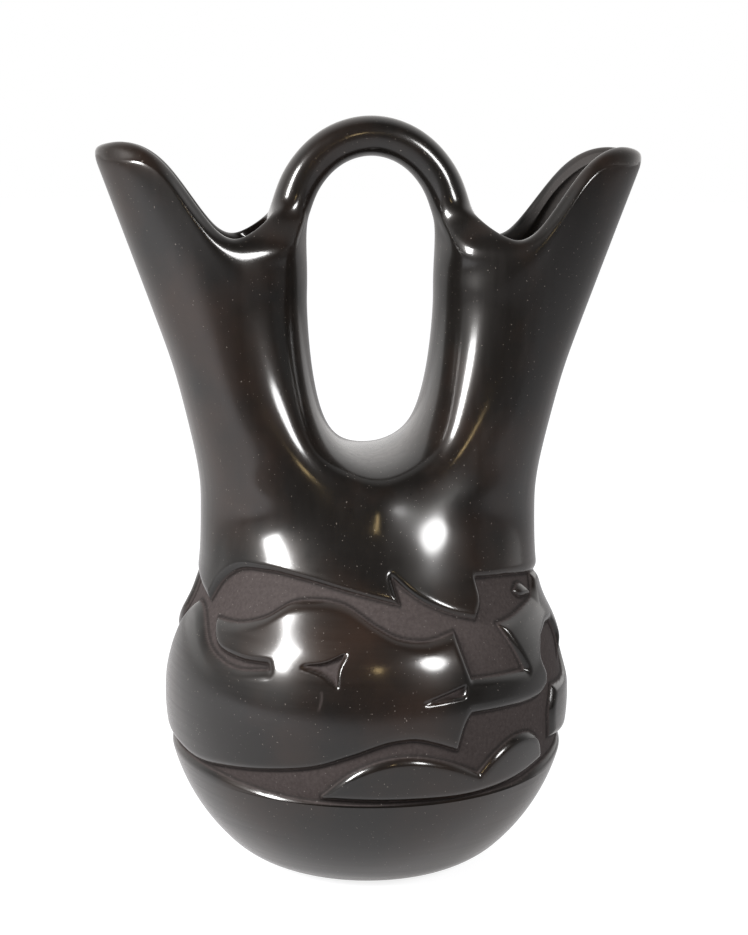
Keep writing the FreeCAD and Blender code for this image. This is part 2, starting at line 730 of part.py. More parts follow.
def standing(runs, shift):
    """Prisms of one closed design line, cut into pieces narrow enough to stand straight."""
    line = walk(runs)
    if math.hypot(line[0][0] - line[-1][0], line[0][1] - line[-1][1]) < NEAR_SHARE:
        line = line[:-1]
    low = min(turn for turn, height in line)
    high = max(turn for turn, height in line)
    widest = WIDEST_SHARE * math.pi
    count = int(math.ceil((high - low) / widest))
    lap = val("carving_lap") / val("belly_radius")
    pieces = []
    for i in range(count):
        left = low + (high - low) * i / count - lap
        right = low + (high - low) * (i + 1) / count + lap
        part = clipped(clipped(line, left, 1), right, -1)
        pieces.append(prism(part, shift))
    return pieces


def neck_edge_runs():
    """The neck's lower edge closed far above the band."""
    first = NECK_EDGE_SHARES[0][0]
    last = NECK_EDGE_SHARES[-1][-1]
    above = 1 + HALF
    return NECK_EDGE_SHARES + [
        [last, (last[0], above)],
        [(last[0], above), (first[0], above)],
        [(first[0], above), first],
    ]


def carving_tools():
    """What is carved out of the belly and of the neck."""
    deep = val("carving_depth")
    middle = FreeCAD.Vector(0, 0, val("belly_middle_height"))
    low = val("bowl_height")
    shoulder = val("shoulder_height")
    top = val("neck_high_height")
    around = val("belly_radius") + deep
    belly_core = Part.makeSphere(val("belly_radius") - deep, middle)
    belly_layer = Part.makeCylinder(around, shoulder - low, FreeCAD.Vector(0, 0, low)).cut(belly_core)
    rings = []
    edge = math.sqrt(val("belly_radius") ** 2 - (shoulder - middle.z) ** 2)
    levels = [(shoulder, edge, edge)]
    for level in NECK_LEVELS[:-1]:
        levels.append(tuple(val(level + part) for part in ("_height", "_width", "_depth")))
    for height, wide, across in levels:
        oval = Part.Ellipse(FreeCAD.Vector(0, 0, height), wide - deep, across - deep)
        rings.append(Part.Wire([oval.toShape()]))
    neck_core = Part.makeLoft(rings, True, False)
    neck_layer = Part.makeCylinder(around, top - shoulder, FreeCAD.Vector(0, 0, shoulder)).cut(neck_core)
    raised = []
    sunk = []
    for repeat in range(REPEATS):
        shift = 2 * math.pi * repeat / REPEATS
        for runs in (neck_edge_runs(), SERPENT_SHARES, LOW_HILL_SHARES, HIGH_HILL_SHARES, CLOUD_SHARES):
            raised += standing(runs, shift)
        for runs in (EYE_SHARES, MOUTH_SHARES):
            sunk += standing(runs, shift)
    tools = []
    for layer in (belly_layer, neck_layer):
        field = layer.cut(raised)
        holes = [layer.common(item) for item in sunk]
        tools.append(Part.makeCompound([field] + [hole for hole in holes if hole.Solids]))
    return tools


def carved(blank, tool, name):
    item = doc.addObject("Part::Cut", name)
    item.Base = blank
    item.Tool = fixed_shape(name + "_carving", tool)
    return item


def mirrored(item, name):
    twin = doc.addObject("Part::Mirroring", name)
    twin.Source = item
    twin.Normal = FreeCAD.Vector(1, 0, 0)
    return twin


left_spout = make_spout(-1, "left_spout_whole")
belly_tool, neck_tool = carving_tools()
nodes = {
    "base_bowl": make_base_bowl(),
    "belly_wall": carved(make_belly_blank(), belly_tool, "belly_carved"),
    "neck_trunk": carved(make_neck(), neck_tool, "neck_carved"),
    "left_spout": left_spout,
    "right_spout": mirrored(left_spout, "right_spout_whole"),
    "stirrup_handle": make_handle(),
}
doc.recompute()

for item in doc.Objects:
    for word in ("Invalid", "Error"):
        if word in item.State:
            raise RuntimeError("not built: " + item.Name)

os.makedirs("parts", exist_ok=True)
for name, item in nodes.items():
    item.Label = name
    shape = item.Shape
    if shape.isNull() or not shape.isValid() or len(shape.Solids) != 1:
        raise RuntimeError("not one valid solid: " + name)
    box = shape.BoundBox
    print("%-15s volume %.0f  x %.1f %.1f  y %.1f %.1f  z %.1f %.1f" % (
        name, shape.Volume, box.XMin, box.XMax, box.YMin, box.YMax, box.ZMin, box.ZMax))
    shape.exportStep("parts/" + name + ".step")
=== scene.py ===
import bpy
import bmesh
import math
import numpy as np
from mathutils import Matrix, Vector
from mathutils.bvhtree import BVHTree


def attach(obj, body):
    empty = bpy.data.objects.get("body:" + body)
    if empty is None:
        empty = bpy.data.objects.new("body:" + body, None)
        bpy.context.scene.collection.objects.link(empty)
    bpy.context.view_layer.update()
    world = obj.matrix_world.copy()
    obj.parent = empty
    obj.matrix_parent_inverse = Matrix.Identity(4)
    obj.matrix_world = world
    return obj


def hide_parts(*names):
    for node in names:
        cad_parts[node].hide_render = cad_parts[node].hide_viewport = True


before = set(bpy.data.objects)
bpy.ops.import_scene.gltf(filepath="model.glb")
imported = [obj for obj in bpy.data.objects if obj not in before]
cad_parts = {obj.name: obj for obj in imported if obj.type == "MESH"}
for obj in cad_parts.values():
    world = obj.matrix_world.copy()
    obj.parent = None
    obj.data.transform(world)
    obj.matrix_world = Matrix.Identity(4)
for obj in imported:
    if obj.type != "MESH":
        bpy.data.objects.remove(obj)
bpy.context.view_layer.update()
MM = 0.001
# Tolerances: a place on the middle plane, nearly nothing, a line too short, farther than anything
ON_MIDDLE, TINY, NO_LENGTH, FAR = 1e-6, 1e-9, 1e-12, 1e9

# Sizes of the jar in millimetres, close to the solids'
BELLY_RADIUS, BELLY_MIDDLE, FOOT_RADIUS = 70.0, 58.0, 29.0
WALL, SPOUT_WALL = 7.0, 6.5
BOWL_TOP, SHOULDER, BAND_TOP, NECK_TOP = 38.0, 86.0, 110.0, 122.0
CARVING_DEPTH = 2.4
LIP_DROP, LIP_RISE, LIP_WALL, LIP_ROUND = 4.8, 1.3, 8.6, 2.0

# Neck sections: height, half width, half depth
NECK = [(66.0, 69.5, 69.5), (75.0, 67.9, 67.9), (84.0, 65.0, 64.9), (93.0, 60.6, 59.2),
        (103.0, 58.35, 52.1), (112.5, 57.65, 46.4), (122.0, 57.5, 41.7)]
# Spout rings: front x, half depth, front z, outer x, outer z, inner x, inner z
RINGS = [
    (0.0, 41.7, 122.0, 57.5, 122.0, 0.0, 142.5),
    (12.5, 37.8, 130.0, 57.6, 130.0, 8.0, 144.4),
    (24.0, 33.6, 140.0, 58.9, 139.5, 14.4, 151.0),
    (33.0, 30.7, 151.5, 61.6, 152.0, 18.2, 162.0),
    (41.0, 28.0, 167.0, 65.8, 168.5, 20.4, 176.0),
    (47.0, 26.4, 188.0, 72.8, 189.0, 21.4, 190.0),
]
RING_POWERS = (0.75, 0.85, 1.0, 1.0, 1.0, 1.0)
OUTER_TURNS = (-90, -67.5, -45, -22.5, 0, 22.5, 45, 67.5, 90)
INNER_TURNS = (120, 150, 180, 210, 240)
TURNS = OUTER_TURNS + INNER_TURNS
# Upper spout sections: height, inner x, outer x, half depth
SECTIONS = [(165.0, 19.3, 64.6, 28.0), (190.0, 21.3, 73.2, 26.4), (214.0, 21.6, 81.8, 26.5),
            (232.0, 21.6, 88.6, 24.8), (252.0, 21.6, 95.5, 21.0)]
# The swooping rim line in the XZ plane, and the heights between which it is looked for
RIM = [(12.0, 220.5), (34.5, 217.0), (41.0, 213.8), (46.0, 213.3), (50.0, 214.5), (55.0, 218.2),
       (60.0, 223.8), (65.0, 232.0), (70.0, 238.8), (75.0, 241.9), (81.0, 242.9), (87.0, 242.9),
       (91.0, 241.8), (104.0, 233.0)]
RIM_LOW, RIM_HIGH, HALVINGS = 190.0, 252.0, 40
# The row of the net under the lip, and how much less the lip is rounded at the spout's tip
UNDER_LIP, TIP_DROP, TIP_ROUND = 14.0, 1.5, 0.8
# Rows beside the stirrup's root: height and turns on the skin; height, wall and places on the lining
ROOT_SKIN = [(198.0, (124, 152, 180, 208, 236)), (205.0, (127, 154, 180, 206, 233)),
             (211.4, (130, 155, 180, 205, 230))]
ROOT_LINING = [(199.0, 9.5, (15.5, 8.5, 0.0, -8.5, -15.5)), (206.5, 12.5, (14.5, 8.0, 0.0, -8.0, -14.5)),
               (212.0, 13.8, (14.0, 7.5, 0.0, -7.5, -14.0))]
GAP_FACE, ROOT_BOW = 21.6, 0.012
# The ends of the lip's crest beside the root, and the collar where the root leaves the spout
CREST_END = (42.5, 20.0, 215.2)
COLLAR = [(25.0, 10.5, 218.8), (22.4, 5.8, 218.3), (21.4, 0.0, 218.2), (22.4, -5.8, 218.3),
          (25.0, -10.5, 218.8), (33.4, -13.0, 220.4), (34.4, -9.6, 220.8), (34.4, -5.0, 220.6),
          (34.5, 0.0, 220.4), (34.4, 5.0, 220.6), (34.4, 9.6, 220.8), (33.4, 13.0, 220.4)]
# Stirrup arch: its rings as turn and widening of the rod, and the turns of the places on a ring
SPAN, ARCH_CENTRE, ARCH_TOP, ROD_X, ROD_Y = 27.8, 215.0, 253.8, 6.6, 7.1
ARCH_RINGS = [(18, 1.22), (33, 1.08), (52, 1.0), (71, 1.0), (90, 1.0)]
ROD_TURNS = (120, 150, 180, 210, 240, 270, 300, 330, 0, 30, 60, 90)

# Marks of the upper jar's faces; INSIDE is added to the mark of a member's lining
NECK_ID, RIGHT_ID, STIRRUP_ID, LEFT_ID, INSIDE = 0, 1, 2, 3, 4
# Fitting the net: rounds, share of the gap closed in each, and levels of the two surfaces
FIT_ROUNDS, FIT_SHARE, UPPER_LEVELS, FINE_LEVELS = 6, 0.9, 4, 5
# Height under which a spout's faces belong to the neck's own net
NECK_NET_TOP = 156.0


def ease(share):
    """A share from 0 to 1 with a soft start and end."""
    return share * share * (3 - 2 * share)


def hermite(s, width, start, end, slope_start, slope_end):
    """Smooth curve between two places with given slopes, at share s of its width."""
    return ((2 * s ** 3 - 3 * s ** 2 + 1) * start + (s ** 3 - 2 * s ** 2 + s) * width * slope_start
            + (3 * s ** 2 - 2 * s ** 3) * end + (s ** 3 - s ** 2) * width * slope_end)


def along(table, height):
    """Values of a table at a height, on straight lines between its rows."""
    for low, high in zip(table, table[1:]):
        if height <= high[0]:
            share = (height - low[0]) / (high[0] - low[0])
            return [a + (b - a) * share for a, b in zip(low[1:], high[1:])]
    return list(table[-1][1:])


def rim_height(x):
    """The rim line as a smooth curve through its places."""
    xs = [place[0] for place in RIM]
    zs = [place[1] for place in RIM]
    last = len(xs) - 1

    def slope(i):
        return 0.0 if i in (0, last) else (zs[i + 1] - zs[i - 1]) / (xs[i + 1] - xs[i - 1])

    i = next((k for k in range(last) if x <= xs[k + 1]), last - 1)
    width = xs[i + 1] - xs[i]
    return hermite((x - xs[i]) / width, width, zs[i], zs[i + 1], slope(i), slope(i + 1))


def wall_point(height, turn, inset):
    """Place on a spout's upper section at a turn, set in from the skin."""
    inner, outer, depth = along(SECTIONS, height)
    middle, half = (inner + outer) / 2, (outer - inner) / 2 - inset
    angle = math.radians(turn)
    return (middle + half * math.cos(angle), (depth - inset) * math.sin(angle), height)


def rim_place(turn, inset):
    """Height at which the wall meets the rim line, by halving."""
    low, high = RIM_LOW, RIM_HIGH
    for _ in range(HALVINGS):
        half = (low + high) / 2
        if rim_height(wall_point(half, turn, inset)[0]) > half:
            low = half
        else:
            high = half
    return low


def ring_points(index, wall):
    """One closed ring of a spout: an ellipse half outside, a leaning arch half towards the gap."""
    front_x, depth, front_z, outer_x, outer_z, inner_x, inner_z = RINGS[index]
    power = RING_POWERS[index]
    points = []
    for turn in TURNS:
        angle = math.radians(turn)
        c = 0.0 if abs(turn) == 90 else math.cos(angle)
        s = math.sin(angle)
        if c >= 0:
            y = (depth - wall) * s
            points.append((front_x + (outer_x - wall - front_x) * c, y, front_z + (outer_z - front_z) * c))
        else:
            y = (depth - wall) * math.copysign(abs(s) ** power, s)
            lean = abs(c) ** power
            x_in = inner_x + (wall if inner_x > 0 else 0.0)
            z_in = inner_z - (wall if inner_x == 0 else 0.0)
            points.append((front_x - (front_x - x_in) * lean, y, front_z + (z_in - front_z) * lean))
    return points


class Cage:
    """Control net of the upper jar, right half first, mirrored at the end."""

    def __init__(self):
        self.points, self.quads, self.marks = [], [], []

    def add(self, point):
        self.points.append(tuple(point))
        return len(self.points) - 1

    def row(self, points):
        return [self.add(point) for point in points]

    def quad(self, a, b, c, d, mark):
        self.quads.append((a, b, c, d))
        self.marks.append(mark)

    def strip(self, low, high, mark, closed, inward=False):
        """Quads between two rows that run the same way."""
        count = len(low) if closed else len(low) - 1
        for j in range(count):
            k = (j + 1) % len(low)
            corners = (low[j], low[k], high[k], high[j])
            self.quad(*(corners[::-1] if inward else corners), mark)


def half_oval(height, inset):
    """The right half of a neck section, set in from the skin."""
    wide, deep = along(NECK, height)
    points = []
    for turn in OUTER_TURNS:
        c = 0.0 if abs(turn) == 90 else math.cos(math.radians(turn))
        points.append(((wide - inset) * c, (deep - inset) * math.sin(math.radians(turn)), height))
    return points


def upper_cage():
    """Net of neck, right spout and right half of the stirrup."""
    cage = Cage()
    count = len(OUTER_TURNS)
    skin = [cage.row(half_oval(place[0], 0.0)) for place in NECK[:-1]]
    lining = [cage.row(half_oval(place[0], SPOUT_WALL)) for place in NECK[1:-1]]
    outer = [cage.row(ring_points(i, 0.0)) for i in range(len(RINGS))]
    inner = [cage.row(ring_points(i, SPOUT_WALL)) for i in range(len(RINGS))]
    skin.append(outer[0][:count])
    lining.append(inner[0][:count])
    for low, high in zip(skin, skin[1:]):
        cage.strip(low, high, NECK_ID, False)
    for low, high in zip(lining, lining[1:]):
        cage.strip(low, high, NECK_ID + INSIDE, False, True)

    def upper_row(drop, inset, root, tip_drop=0.0, tip_inset=0.0):
        """A row below the rim line, less far down and in at the spout's tip, and then past the root."""
        row = []
        for turn in OUTER_TURNS:
            tip = max(math.cos(math.radians(turn)), 0.0) ** 4
            low, side = drop - tip_drop * tip, inset - tip_inset * tip
            row.append(cage.add(wall_point(rim_place(turn, side) - low, turn, side)))
        return row + cage.row(root)

    skin_root = [[wall_point(height, turn, 0.0) for turn in turns] for height, turns in ROOT_SKIN]
    lining_root = [[(GAP_FACE + thick - ROOT_BOW * y * y, y, height) for y in places]
                   for height, thick, places in ROOT_LINING]
    lip_edge = LIP_ROUND - LIP_RISE
    outer.append(upper_row(UNDER_LIP, 0.0, skin_root[0]))
    outer.append(upper_row(LIP_DROP, 0.0, skin_root[1], TIP_DROP))
    outer.append(upper_row(lip_edge, LIP_ROUND, skin_root[2], TIP_ROUND, TIP_ROUND))
    inner.append(upper_row(UNDER_LIP, SPOUT_WALL, lining_root[0]))
    inner.append(upper_row(LIP_DROP, LIP_WALL, lining_root[1], TIP_DROP))
    inner.append(upper_row(lip_edge, LIP_WALL - LIP_ROUND, lining_root[2]))
    for low, high in zip(outer, outer[1:]):
        cage.strip(low, high, RIGHT_ID, True)
    for low, high in zip(inner, inner[1:]):
        cage.strip(low, high, RIGHT_ID + INSIDE, True, True)

    # The lip's crest, and its two ends beside the stirrup's root
    crest = []
    for turn in OUTER_TURNS:
        a = wall_point(rim_place(turn, 0.0), turn, 0.0)
        b = wall_point(rim_place(turn, LIP_WALL), turn, LIP_WALL)
        crest.append(cage.add(((a[0] + b[0]) / 2, (a[1] + b[1]) / 2, (a[2] + b[2]) / 2 + LIP_RISE)))
    skin_top, lining_top = outer[-1], inner[-1]
    for j in range(count - 1):
        cage.quad(skin_top[j], skin_top[j + 1], crest[j + 1], crest[j], RIGHT_ID)
        cage.quad(lining_top[j + 1], lining_top[j], crest[j], crest[j + 1], RIGHT_ID)
    end_x, end_y, end_z = CREST_END
    back, front = cage.add((end_x, end_y, end_z)), cage.add((end_x, -end_y, end_z))
    cage.quad(skin_top[count - 1], skin_top[count], back, crest[-1], RIGHT_ID)
    cage.quad(lining_top[count], lining_top[count - 1], crest[-1], back, RIGHT_ID)
    cage.quad(skin_top[-1], skin_top[0], crest[0], front, RIGHT_ID)
    cage.quad(lining_top[0], lining_top[-1], front, crest[0], RIGHT_ID)

    # The root's collar and the arch's rings, each the same way round
    base = skin_top[count:] + [front] + lining_top[count:][::-1] + [back]
    below = cage.row(COLLAR)
    cage.strip(base, below, RIGHT_ID, True)
    rise = ARCH_TOP - ROD_X - ARCH_CENTRE
    for turn, widening in ARCH_RINGS:
        angle = math.radians(turn)
        aside, upward = 0.0 if turn == 90 else math.cos(angle), math.sin(angle)
        x, z, deep = SPAN * aside, ARCH_CENTRE + rise * upward, ROD_Y * widening
        out = Vector((rise * aside, 0.0, SPAN * upward)).normalized()
        ring = []
        for around in ROD_TURNS:
            c, s = math.cos(math.radians(around)), math.sin(math.radians(around))
            ring.append((x + out.x * ROD_X * c, deep * s, z + out.z * ROD_X * c))
        above = cage.row(ring)
        cage.strip(below, above, STIRRUP_ID, True)
        below = above
    return cage


def mirrored(cage):
    """Both halves, joined on the middle plane."""
    points, twin = list(cage.points), []
    for i, (x, y, z) in enumerate(cage.points):
        if abs(x) < ON_MIDDLE:
            twin.append(i)
        else:
            twin.append(len(points))
            points.append((-x, y, z))
    quads, marks = list(cage.quads), list(cage.marks)
    for quad, mark in zip(cage.quads, cage.marks):
        quads.append(tuple(twin[i] for i in quad)[::-1])
        marks.append(mark + LEFT_ID - RIGHT_ID if mark % INSIDE == RIGHT_ID else mark)
    return np.array(points), quads, marks


def read_out(items, key, width, kind=float):
    """One property of a mesh's items as an array of that many columns."""
    found = np.empty(len(items) * width, dtype=kind)
    items.foreach_get(key, found)
    return found.reshape(-1, width)


class Limit:
    """Catmull-Clark surface of a net as arrays."""

    def __init__(self, points, quads, marks, levels):
        mesh = bpy.data.meshes.new("net")
        mesh.from_pydata([tuple(p) for p in points], [], quads)
        for _ in range(2 * INSIDE):
            mesh.materials.append(None)
        mesh.polygons.foreach_set("material_index", marks)
        item = bpy.data.objects.new("net", mesh)
        bpy.context.scene.collection.objects.link(item)
        smooth = item.modifiers.new("smooth", "SUBSURF")
        smooth.levels = smooth.render_levels = levels
        smooth.use_limit_surface = True
        graph = bpy.context.evaluated_depsgraph_get()
        found = item.evaluated_get(graph)
        made = found.to_mesh()
        self.points = read_out(made.vertices, "co", 3)
        self.normals = read_out(made.vertex_normals, "vector", 3)
        self.quads = read_out(made.loops, "vertex_index", 1, np.int32).reshape(-1, 4)
        self.marks = read_out(made.polygons, "material_index", 1, np.int32).reshape(-1)
        found.to_mesh_clear()
        bpy.data.objects.remove(item)
        bpy.data.meshes.remove(mesh)


def fitted(points, quads, marks):
    """The net whose limit surface passes through the wanted places."""
    net = points.copy()
    for _ in range(FIT_ROUNDS):
        reached = Limit(net, quads, marks, 1).points[:len(points)]
        net += (points - reached) * FIT_SHARE
    return net


wanted, cage_quads, cage_marks = mirrored(upper_cage())
net = fitted(wanted, cage_quads, cage_marks)
upper = Limit(net, cage_quads, cage_marks, UPPER_LEVELS)

# The neck's own part of the net, finer, to read its radius from
picked = [q for q, (quad, mark) in enumerate(zip(cage_quads, cage_marks)) if mark == NECK_ID
          or mark in (RIGHT_ID, LEFT_ID) and max(wanted[i][2] for i in quad) < NECK_NET_TOP]
fine = Limit(net, [cage_quads[q] for q in picked], [cage_marks[q] for q in picked], FINE_LEVELS)
fine_tree = BVHTree.FromPolygons([Vector(p) for p in fine.points],
                                 [tuple(int(i) for i in q) for q in fine.quads])

# Carved design: each place is (share of a half turn from the front, share of the band's height).
# A list holds runs: a run of two places is straight, a longer one is smooth.
NECK_EDGE = [
    [(-0.386, 0.788), (-0.365, 0.876), (-0.325, 0.951), (-0.254, 0.974), (-0.175, 0.957), (-0.070, 0.912),
     (0.031, 0.861)],
    [(0.031, 0.861), (0.019, 0.971)],
    [(0.019, 0.971), (0.066, 0.885), (0.120, 0.820), (0.176, 0.778)],
    [(0.176, 0.778), (0.201, 0.850), (0.206, 0.944)],
    [(0.206, 0.944), (0.300, 0.925), (0.384, 0.894), (0.520, 0.850), (0.614, 0.788)],
]
SERPENT = [
    [(-0.668, 0.405), (-0.600, 0.385), (-0.545, 0.385), (-0.505, 0.440), (-0.488, 0.560), (-0.470, 0.680),
     (-0.440, 0.752), (-0.405, 0.745), (-0.368, 0.690), (-0.325, 0.610), (-0.258, 0.560), (-0.190, 0.583)],
    [(-0.190, 0.583), (-0.193, 0.606)],
    [(-0.193, 0.606), (-0.252, 0.604), (-0.314, 0.645), (-0.342, 0.732)],
    [(-0.342, 0.732), (-0.270, 0.747), (-0.227, 0.785), (-0.181, 0.857), (-0.134, 0.876), (-0.076, 0.860),
     (-0.014, 0.778), (0.018, 0.738), (0.068, 0.718), (0.124, 0.743)],
    [(0.124, 0.743), (0.130, 0.640), (0.138, 0.549)],
    [(0.138, 0.549), (0.251, 0.532)],
    [(0.251, 0.532), (0.221, 0.743)],
    [(0.221, 0.743), (0.262, 0.752), (0.310, 0.772), (0.365, 0.790)],
    [(0.365, 0.790), (0.385, 0.830), (0.395, 0.885)],
    [(0.395, 0.885), (0.440, 0.880), (0.480, 0.800), (0.485, 0.680), (0.450, 0.560), (0.405, 0.480)],
    [(0.405, 0.480), (0.425, 0.560), (0.415, 0.650)],
    [(0.415, 0.650), (0.365, 0.660), (0.325, 0.630)],
    [(0.325, 0.630), (0.306, 0.560), (0.314, 0.480), (0.308, 0.425)],
    [(0.308, 0.425), (0.285, 0.396), (0.255, 0.390)],
    [(0.255, 0.390), (0.132, 0.400)],
    [(0.132, 0.400), (0.126, 0.378), (0.108, 0.240)],
    [(0.108, 0.240), (0.072, 0.282), (0.042, 0.306), (0.010, 0.301), (-0.051, 0.240), (-0.108, 0.179),
     (-0.179, 0.138), (-0.258, 0.103), (-0.338, 0.076), (-0.407, 0.092), (-0.520, 0.110), (-0.640, 0.140),
     (-0.675, 0.160)],
    [(-0.675, 0.160), (-0.684, 0.290), (-0.668, 0.405)],
]
HILLS = [
    [(-0.101, 0.040), (-0.051, 0.165), (0.009, 0.230), (0.038, 0.232), (0.086, 0.200), (0.147, 0.118)],
    [(0.147, 0.118), (0.175, 0.195), (0.218, 0.251), (0.245, 0.250), (0.278, 0.200), (0.300, 0.085)],
    [(0.300, 0.085), (0.225, 0.036), (0.151, 0.014), (0.033, 0.020), (-0.101, 0.028)],
    [(-0.101, 0.028), (-0.101, 0.040)],
]
CLOUD = [
    [(0.302, 0.848), (0.322, 0.874), (0.350, 0.850), (0.366, 0.808), (0.340, 0.810), (0.312, 0.824),
     (0.302, 0.848)],
]
EYE = [
    [(-0.132, 0.619), (-0.095, 0.640), (-0.065, 0.681)],
    [(-0.065, 0.681), (-0.076, 0.610), (-0.076, 0.543)],
    [(-0.076, 0.543), (-0.098, 0.590), (-0.132, 0.619)],
]
MOUTH = [
    [(0.054, 0.470), (0.090, 0.500), (0.122, 0.525)],
    [(0.122, 0.525), (0.119, 0.485)],
    [(0.119, 0.485), (0.054, 0.470)],
]
# A scratch on the serpent's cheek
SCRATCH = [
    [(-0.0990, 0.522), (-0.0975, 0.500), (-0.0990, 0.470), (-0.1015, 0.446)],
    [(-0.1015, 0.446), (-0.0998, 0.470), (-0.0985, 0.500), (-0.0990, 0.522)],
]
# The bowl's wavy upper edge
BOWL_EDGE = [
    [(-0.500, 0.068), (-0.400, 0.066), (-0.294, 0.052), (-0.235, 0.033), (-0.138, 0.011), (-0.009, 0.0),
     (0.100, -0.004), (0.180, 0.002), (0.244, 0.010), (0.297, 0.036), (0.400, 0.062), (0.500, 0.068)],
]
BAND = BAND_TOP - BOWL_TOP
AROUND = math.pi * BELLY_RADIUS
CURVE_STEPS = 8
# Where the lines that close the neck's and the bowl's edges run, as shares of the band
NECK_BEYOND, BOWL_BEYOND = 1.6, -0.4
# A raised edge: how far out its rise starts, how wide it is, and the two powers that round it
EDGE_OUT, EDGE_WIDTH, EDGE_BULGE, EDGE_FLAT = 0.35, 3.6, 2.4, 0.85
# A sunk mark (eye, mouth): how far out its fall starts and how wide it is
SUNK_OUT, SUNK_WIDTH = 0.45, 1.1
# Matte mask: width at a raised edge; start and width at a sunk one; strength and width of the scratch
MASK_WIDTH, SUNK_MASK_OUT, SUNK_MASK_WIDTH, SCRATCH_MASK, SCRATCH_WIDTH = 0.5, 0.1, 0.4, 0.5, 0.30
# The painted shade line at the foot of a raised edge, where it meets the carved ground: how far out it lies
# and how wide it is
SHADE_LINE_OUT, SHADE_LINE_WIDTH = 0.45, 0.55


def curve_through(places, steps):
    """Places on a smooth curve through the given ones."""
    if len(places) == 2:
        return places
    pts = np.array(places)
    gaps = np.maximum(np.hypot(*np.diff(pts, axis=0).T), TINY)
    marks = np.concatenate([[0.0], np.cumsum(gaps)])
    slopes = np.gradient(pts, marks, axis=0)
    found = []
    for i in range(len(pts) - 1):
        s = np.arange(steps)[:, None] / steps
        found.append(hermite(s, gaps[i], pts[i], pts[i + 1], slopes[i], slopes[i + 1]))
    found.append(pts[-1:])
    return [tuple(p) for p in np.vstack(found)]


def outline(runs):
    """A closed design line unrolled in millimetres: distance round the belly, height."""
    line = []
    for run in runs:
        places = [(turn * AROUND, BOWL_TOP + share * BAND) for turn, share in run]
        line += curve_through(places, CURVE_STEPS)[:-1]
    return np.array(line)


def bordered(runs, beyond):
    """An edge that runs right round, as a closed line over three repeats."""
    line = outline(runs)
    low = BOWL_TOP + beyond * BAND
    ends = [(line[0][0] - AROUND, low), (line[0][0] + 2 * AROUND, low)]
    return np.vstack([line - (AROUND, 0.0), line, line + (AROUND, 0.0), ends[1:], ends[:1]])


def reach(line, u, v):
    """Signed distance to a closed line, positive inside it."""
    best = np.full(u.shape, FAR)
    inside = np.zeros(u.shape, dtype=bool)
    for (ax, ay), (bx, by) in zip(line, np.roll(line, -1, axis=0)):
        ex, ey = bx - ax, by - ay
        length = ex * ex + ey * ey
        if length < NO_LENGTH:
            continue
        t = np.clip(((u - ax) * ex + (v - ay) * ey) / length, 0.0, 1.0)
        best = np.minimum(best, (u - ax - t * ex) ** 2 + (v - ay - t * ey) ** 2)
        if ay != by:
            crossing = ((ay > v) != (by > v)) & (u < ex * (v - ay) / (by - ay) + ax)
            inside ^= crossing
    return np.where(inside, 1.0, -1.0) * np.sqrt(best)


# The carved skin as a field of radii: columns round the jar, rows half a millimetre apart
COLUMNS = 900
ROW_STEP = 0.5
FIELD_LOW, FIELD_HIGH = 36.0, 124.0
# The ball gives way to the net's own skin from BLEND_LOW up, over BLEND_RISE
BLEND_LOW, BLEND_RISE, BALL_TOP, RAY_START = 80.0, 9.0, 90.0, 120.0
# Softening in cells, of the skin and of its copy for the normals at the seam
SKIN_SOFT, SEAM_SOFT = 2.5, 4.0
# Heights of that copy, and how far from the seam the normals are blended and over what width
SEAM = (104.0, 140.0)
SEAM_REACH, SEAM_FADE = 14.0, 8.0


def base_radius(heights):
    """Radius of the uncarved skin for a quarter turn, from the front to the side."""
    quarter = COLUMNS // 4
    turns = np.linspace(0.0, math.pi / 2, quarter + 1)
    field = np.empty((len(heights), quarter + 1))
    for i, z in enumerate(heights):
        ball = math.sqrt(BELLY_RADIUS ** 2 - (z - BELLY_MIDDLE) ** 2) if z < BALL_TOP else 0.0
        share = ease(min(max((z - BLEND_LOW) / BLEND_RISE, 0.0), 1.0))
        for j, turn in enumerate(turns):
            value = ball
            if share > 0:
                way = Vector((math.sin(turn), -math.cos(turn), 0.0))
                hit = fine_tree.ray_cast(way * RAY_START + Vector((0, 0, z)), -way)[0]
                value = ball + (math.hypot(hit.x, hit.y) - ball) * share
            field[i, j] = value
    return field


def smoothed(field, width):
    """Soften a mirrored field along both directions."""
    reach_cells = int(3 * width)
    kernel = np.exp(-0.5 * (np.arange(-reach_cells, reach_cells + 1) / width) ** 2)
    kernel /= kernel.sum()
    wide = np.pad(field, ((reach_cells, reach_cells), (reach_cells, reach_cells)), mode="reflect",
                  reflect_type="odd")
    wide[:, :reach_cells] = wide[:, 2 * reach_cells:reach_cells:-1]
    wide[:, -reach_cells:] = wide[:, -reach_cells - 2:-2 * reach_cells - 2:-1]
    wide = np.apply_along_axis(lambda row: np.convolve(row, kernel, mode="same"), 1, wide)
    wide = np.apply_along_axis(lambda row: np.convolve(row, kernel, mode="same"), 0, wide)
    return wide[reach_cells:-reach_cells, reach_cells:-reach_cells]


def full_turn(quarter):
    """The field of a quarter turn mirrored to the whole one."""
    half = np.concatenate([quarter, quarter[:, -2:0:-1]], axis=1)
    return np.concatenate([half, half], axis=1)


def field_points(radius, heights):
    """Points of a field of radii over the whole turn."""
    turns = np.arange(COLUMNS) * 2 * math.pi / COLUMNS
    return np.stack([radius * np.sin(turns), -radius * np.cos(turns),
                     np.repeat(heights[:, None], COLUMNS, axis=1)], axis=-1)


def grid_normals(points):
    """Normals of rows of points that run round the jar."""
    around = np.roll(points, -1, axis=1) - np.roll(points, 1, axis=1)
    normals = np.cross(around, np.gradient(points, axis=0))
    return normals / np.maximum(np.linalg.norm(normals, axis=2, keepdims=True), TINY)


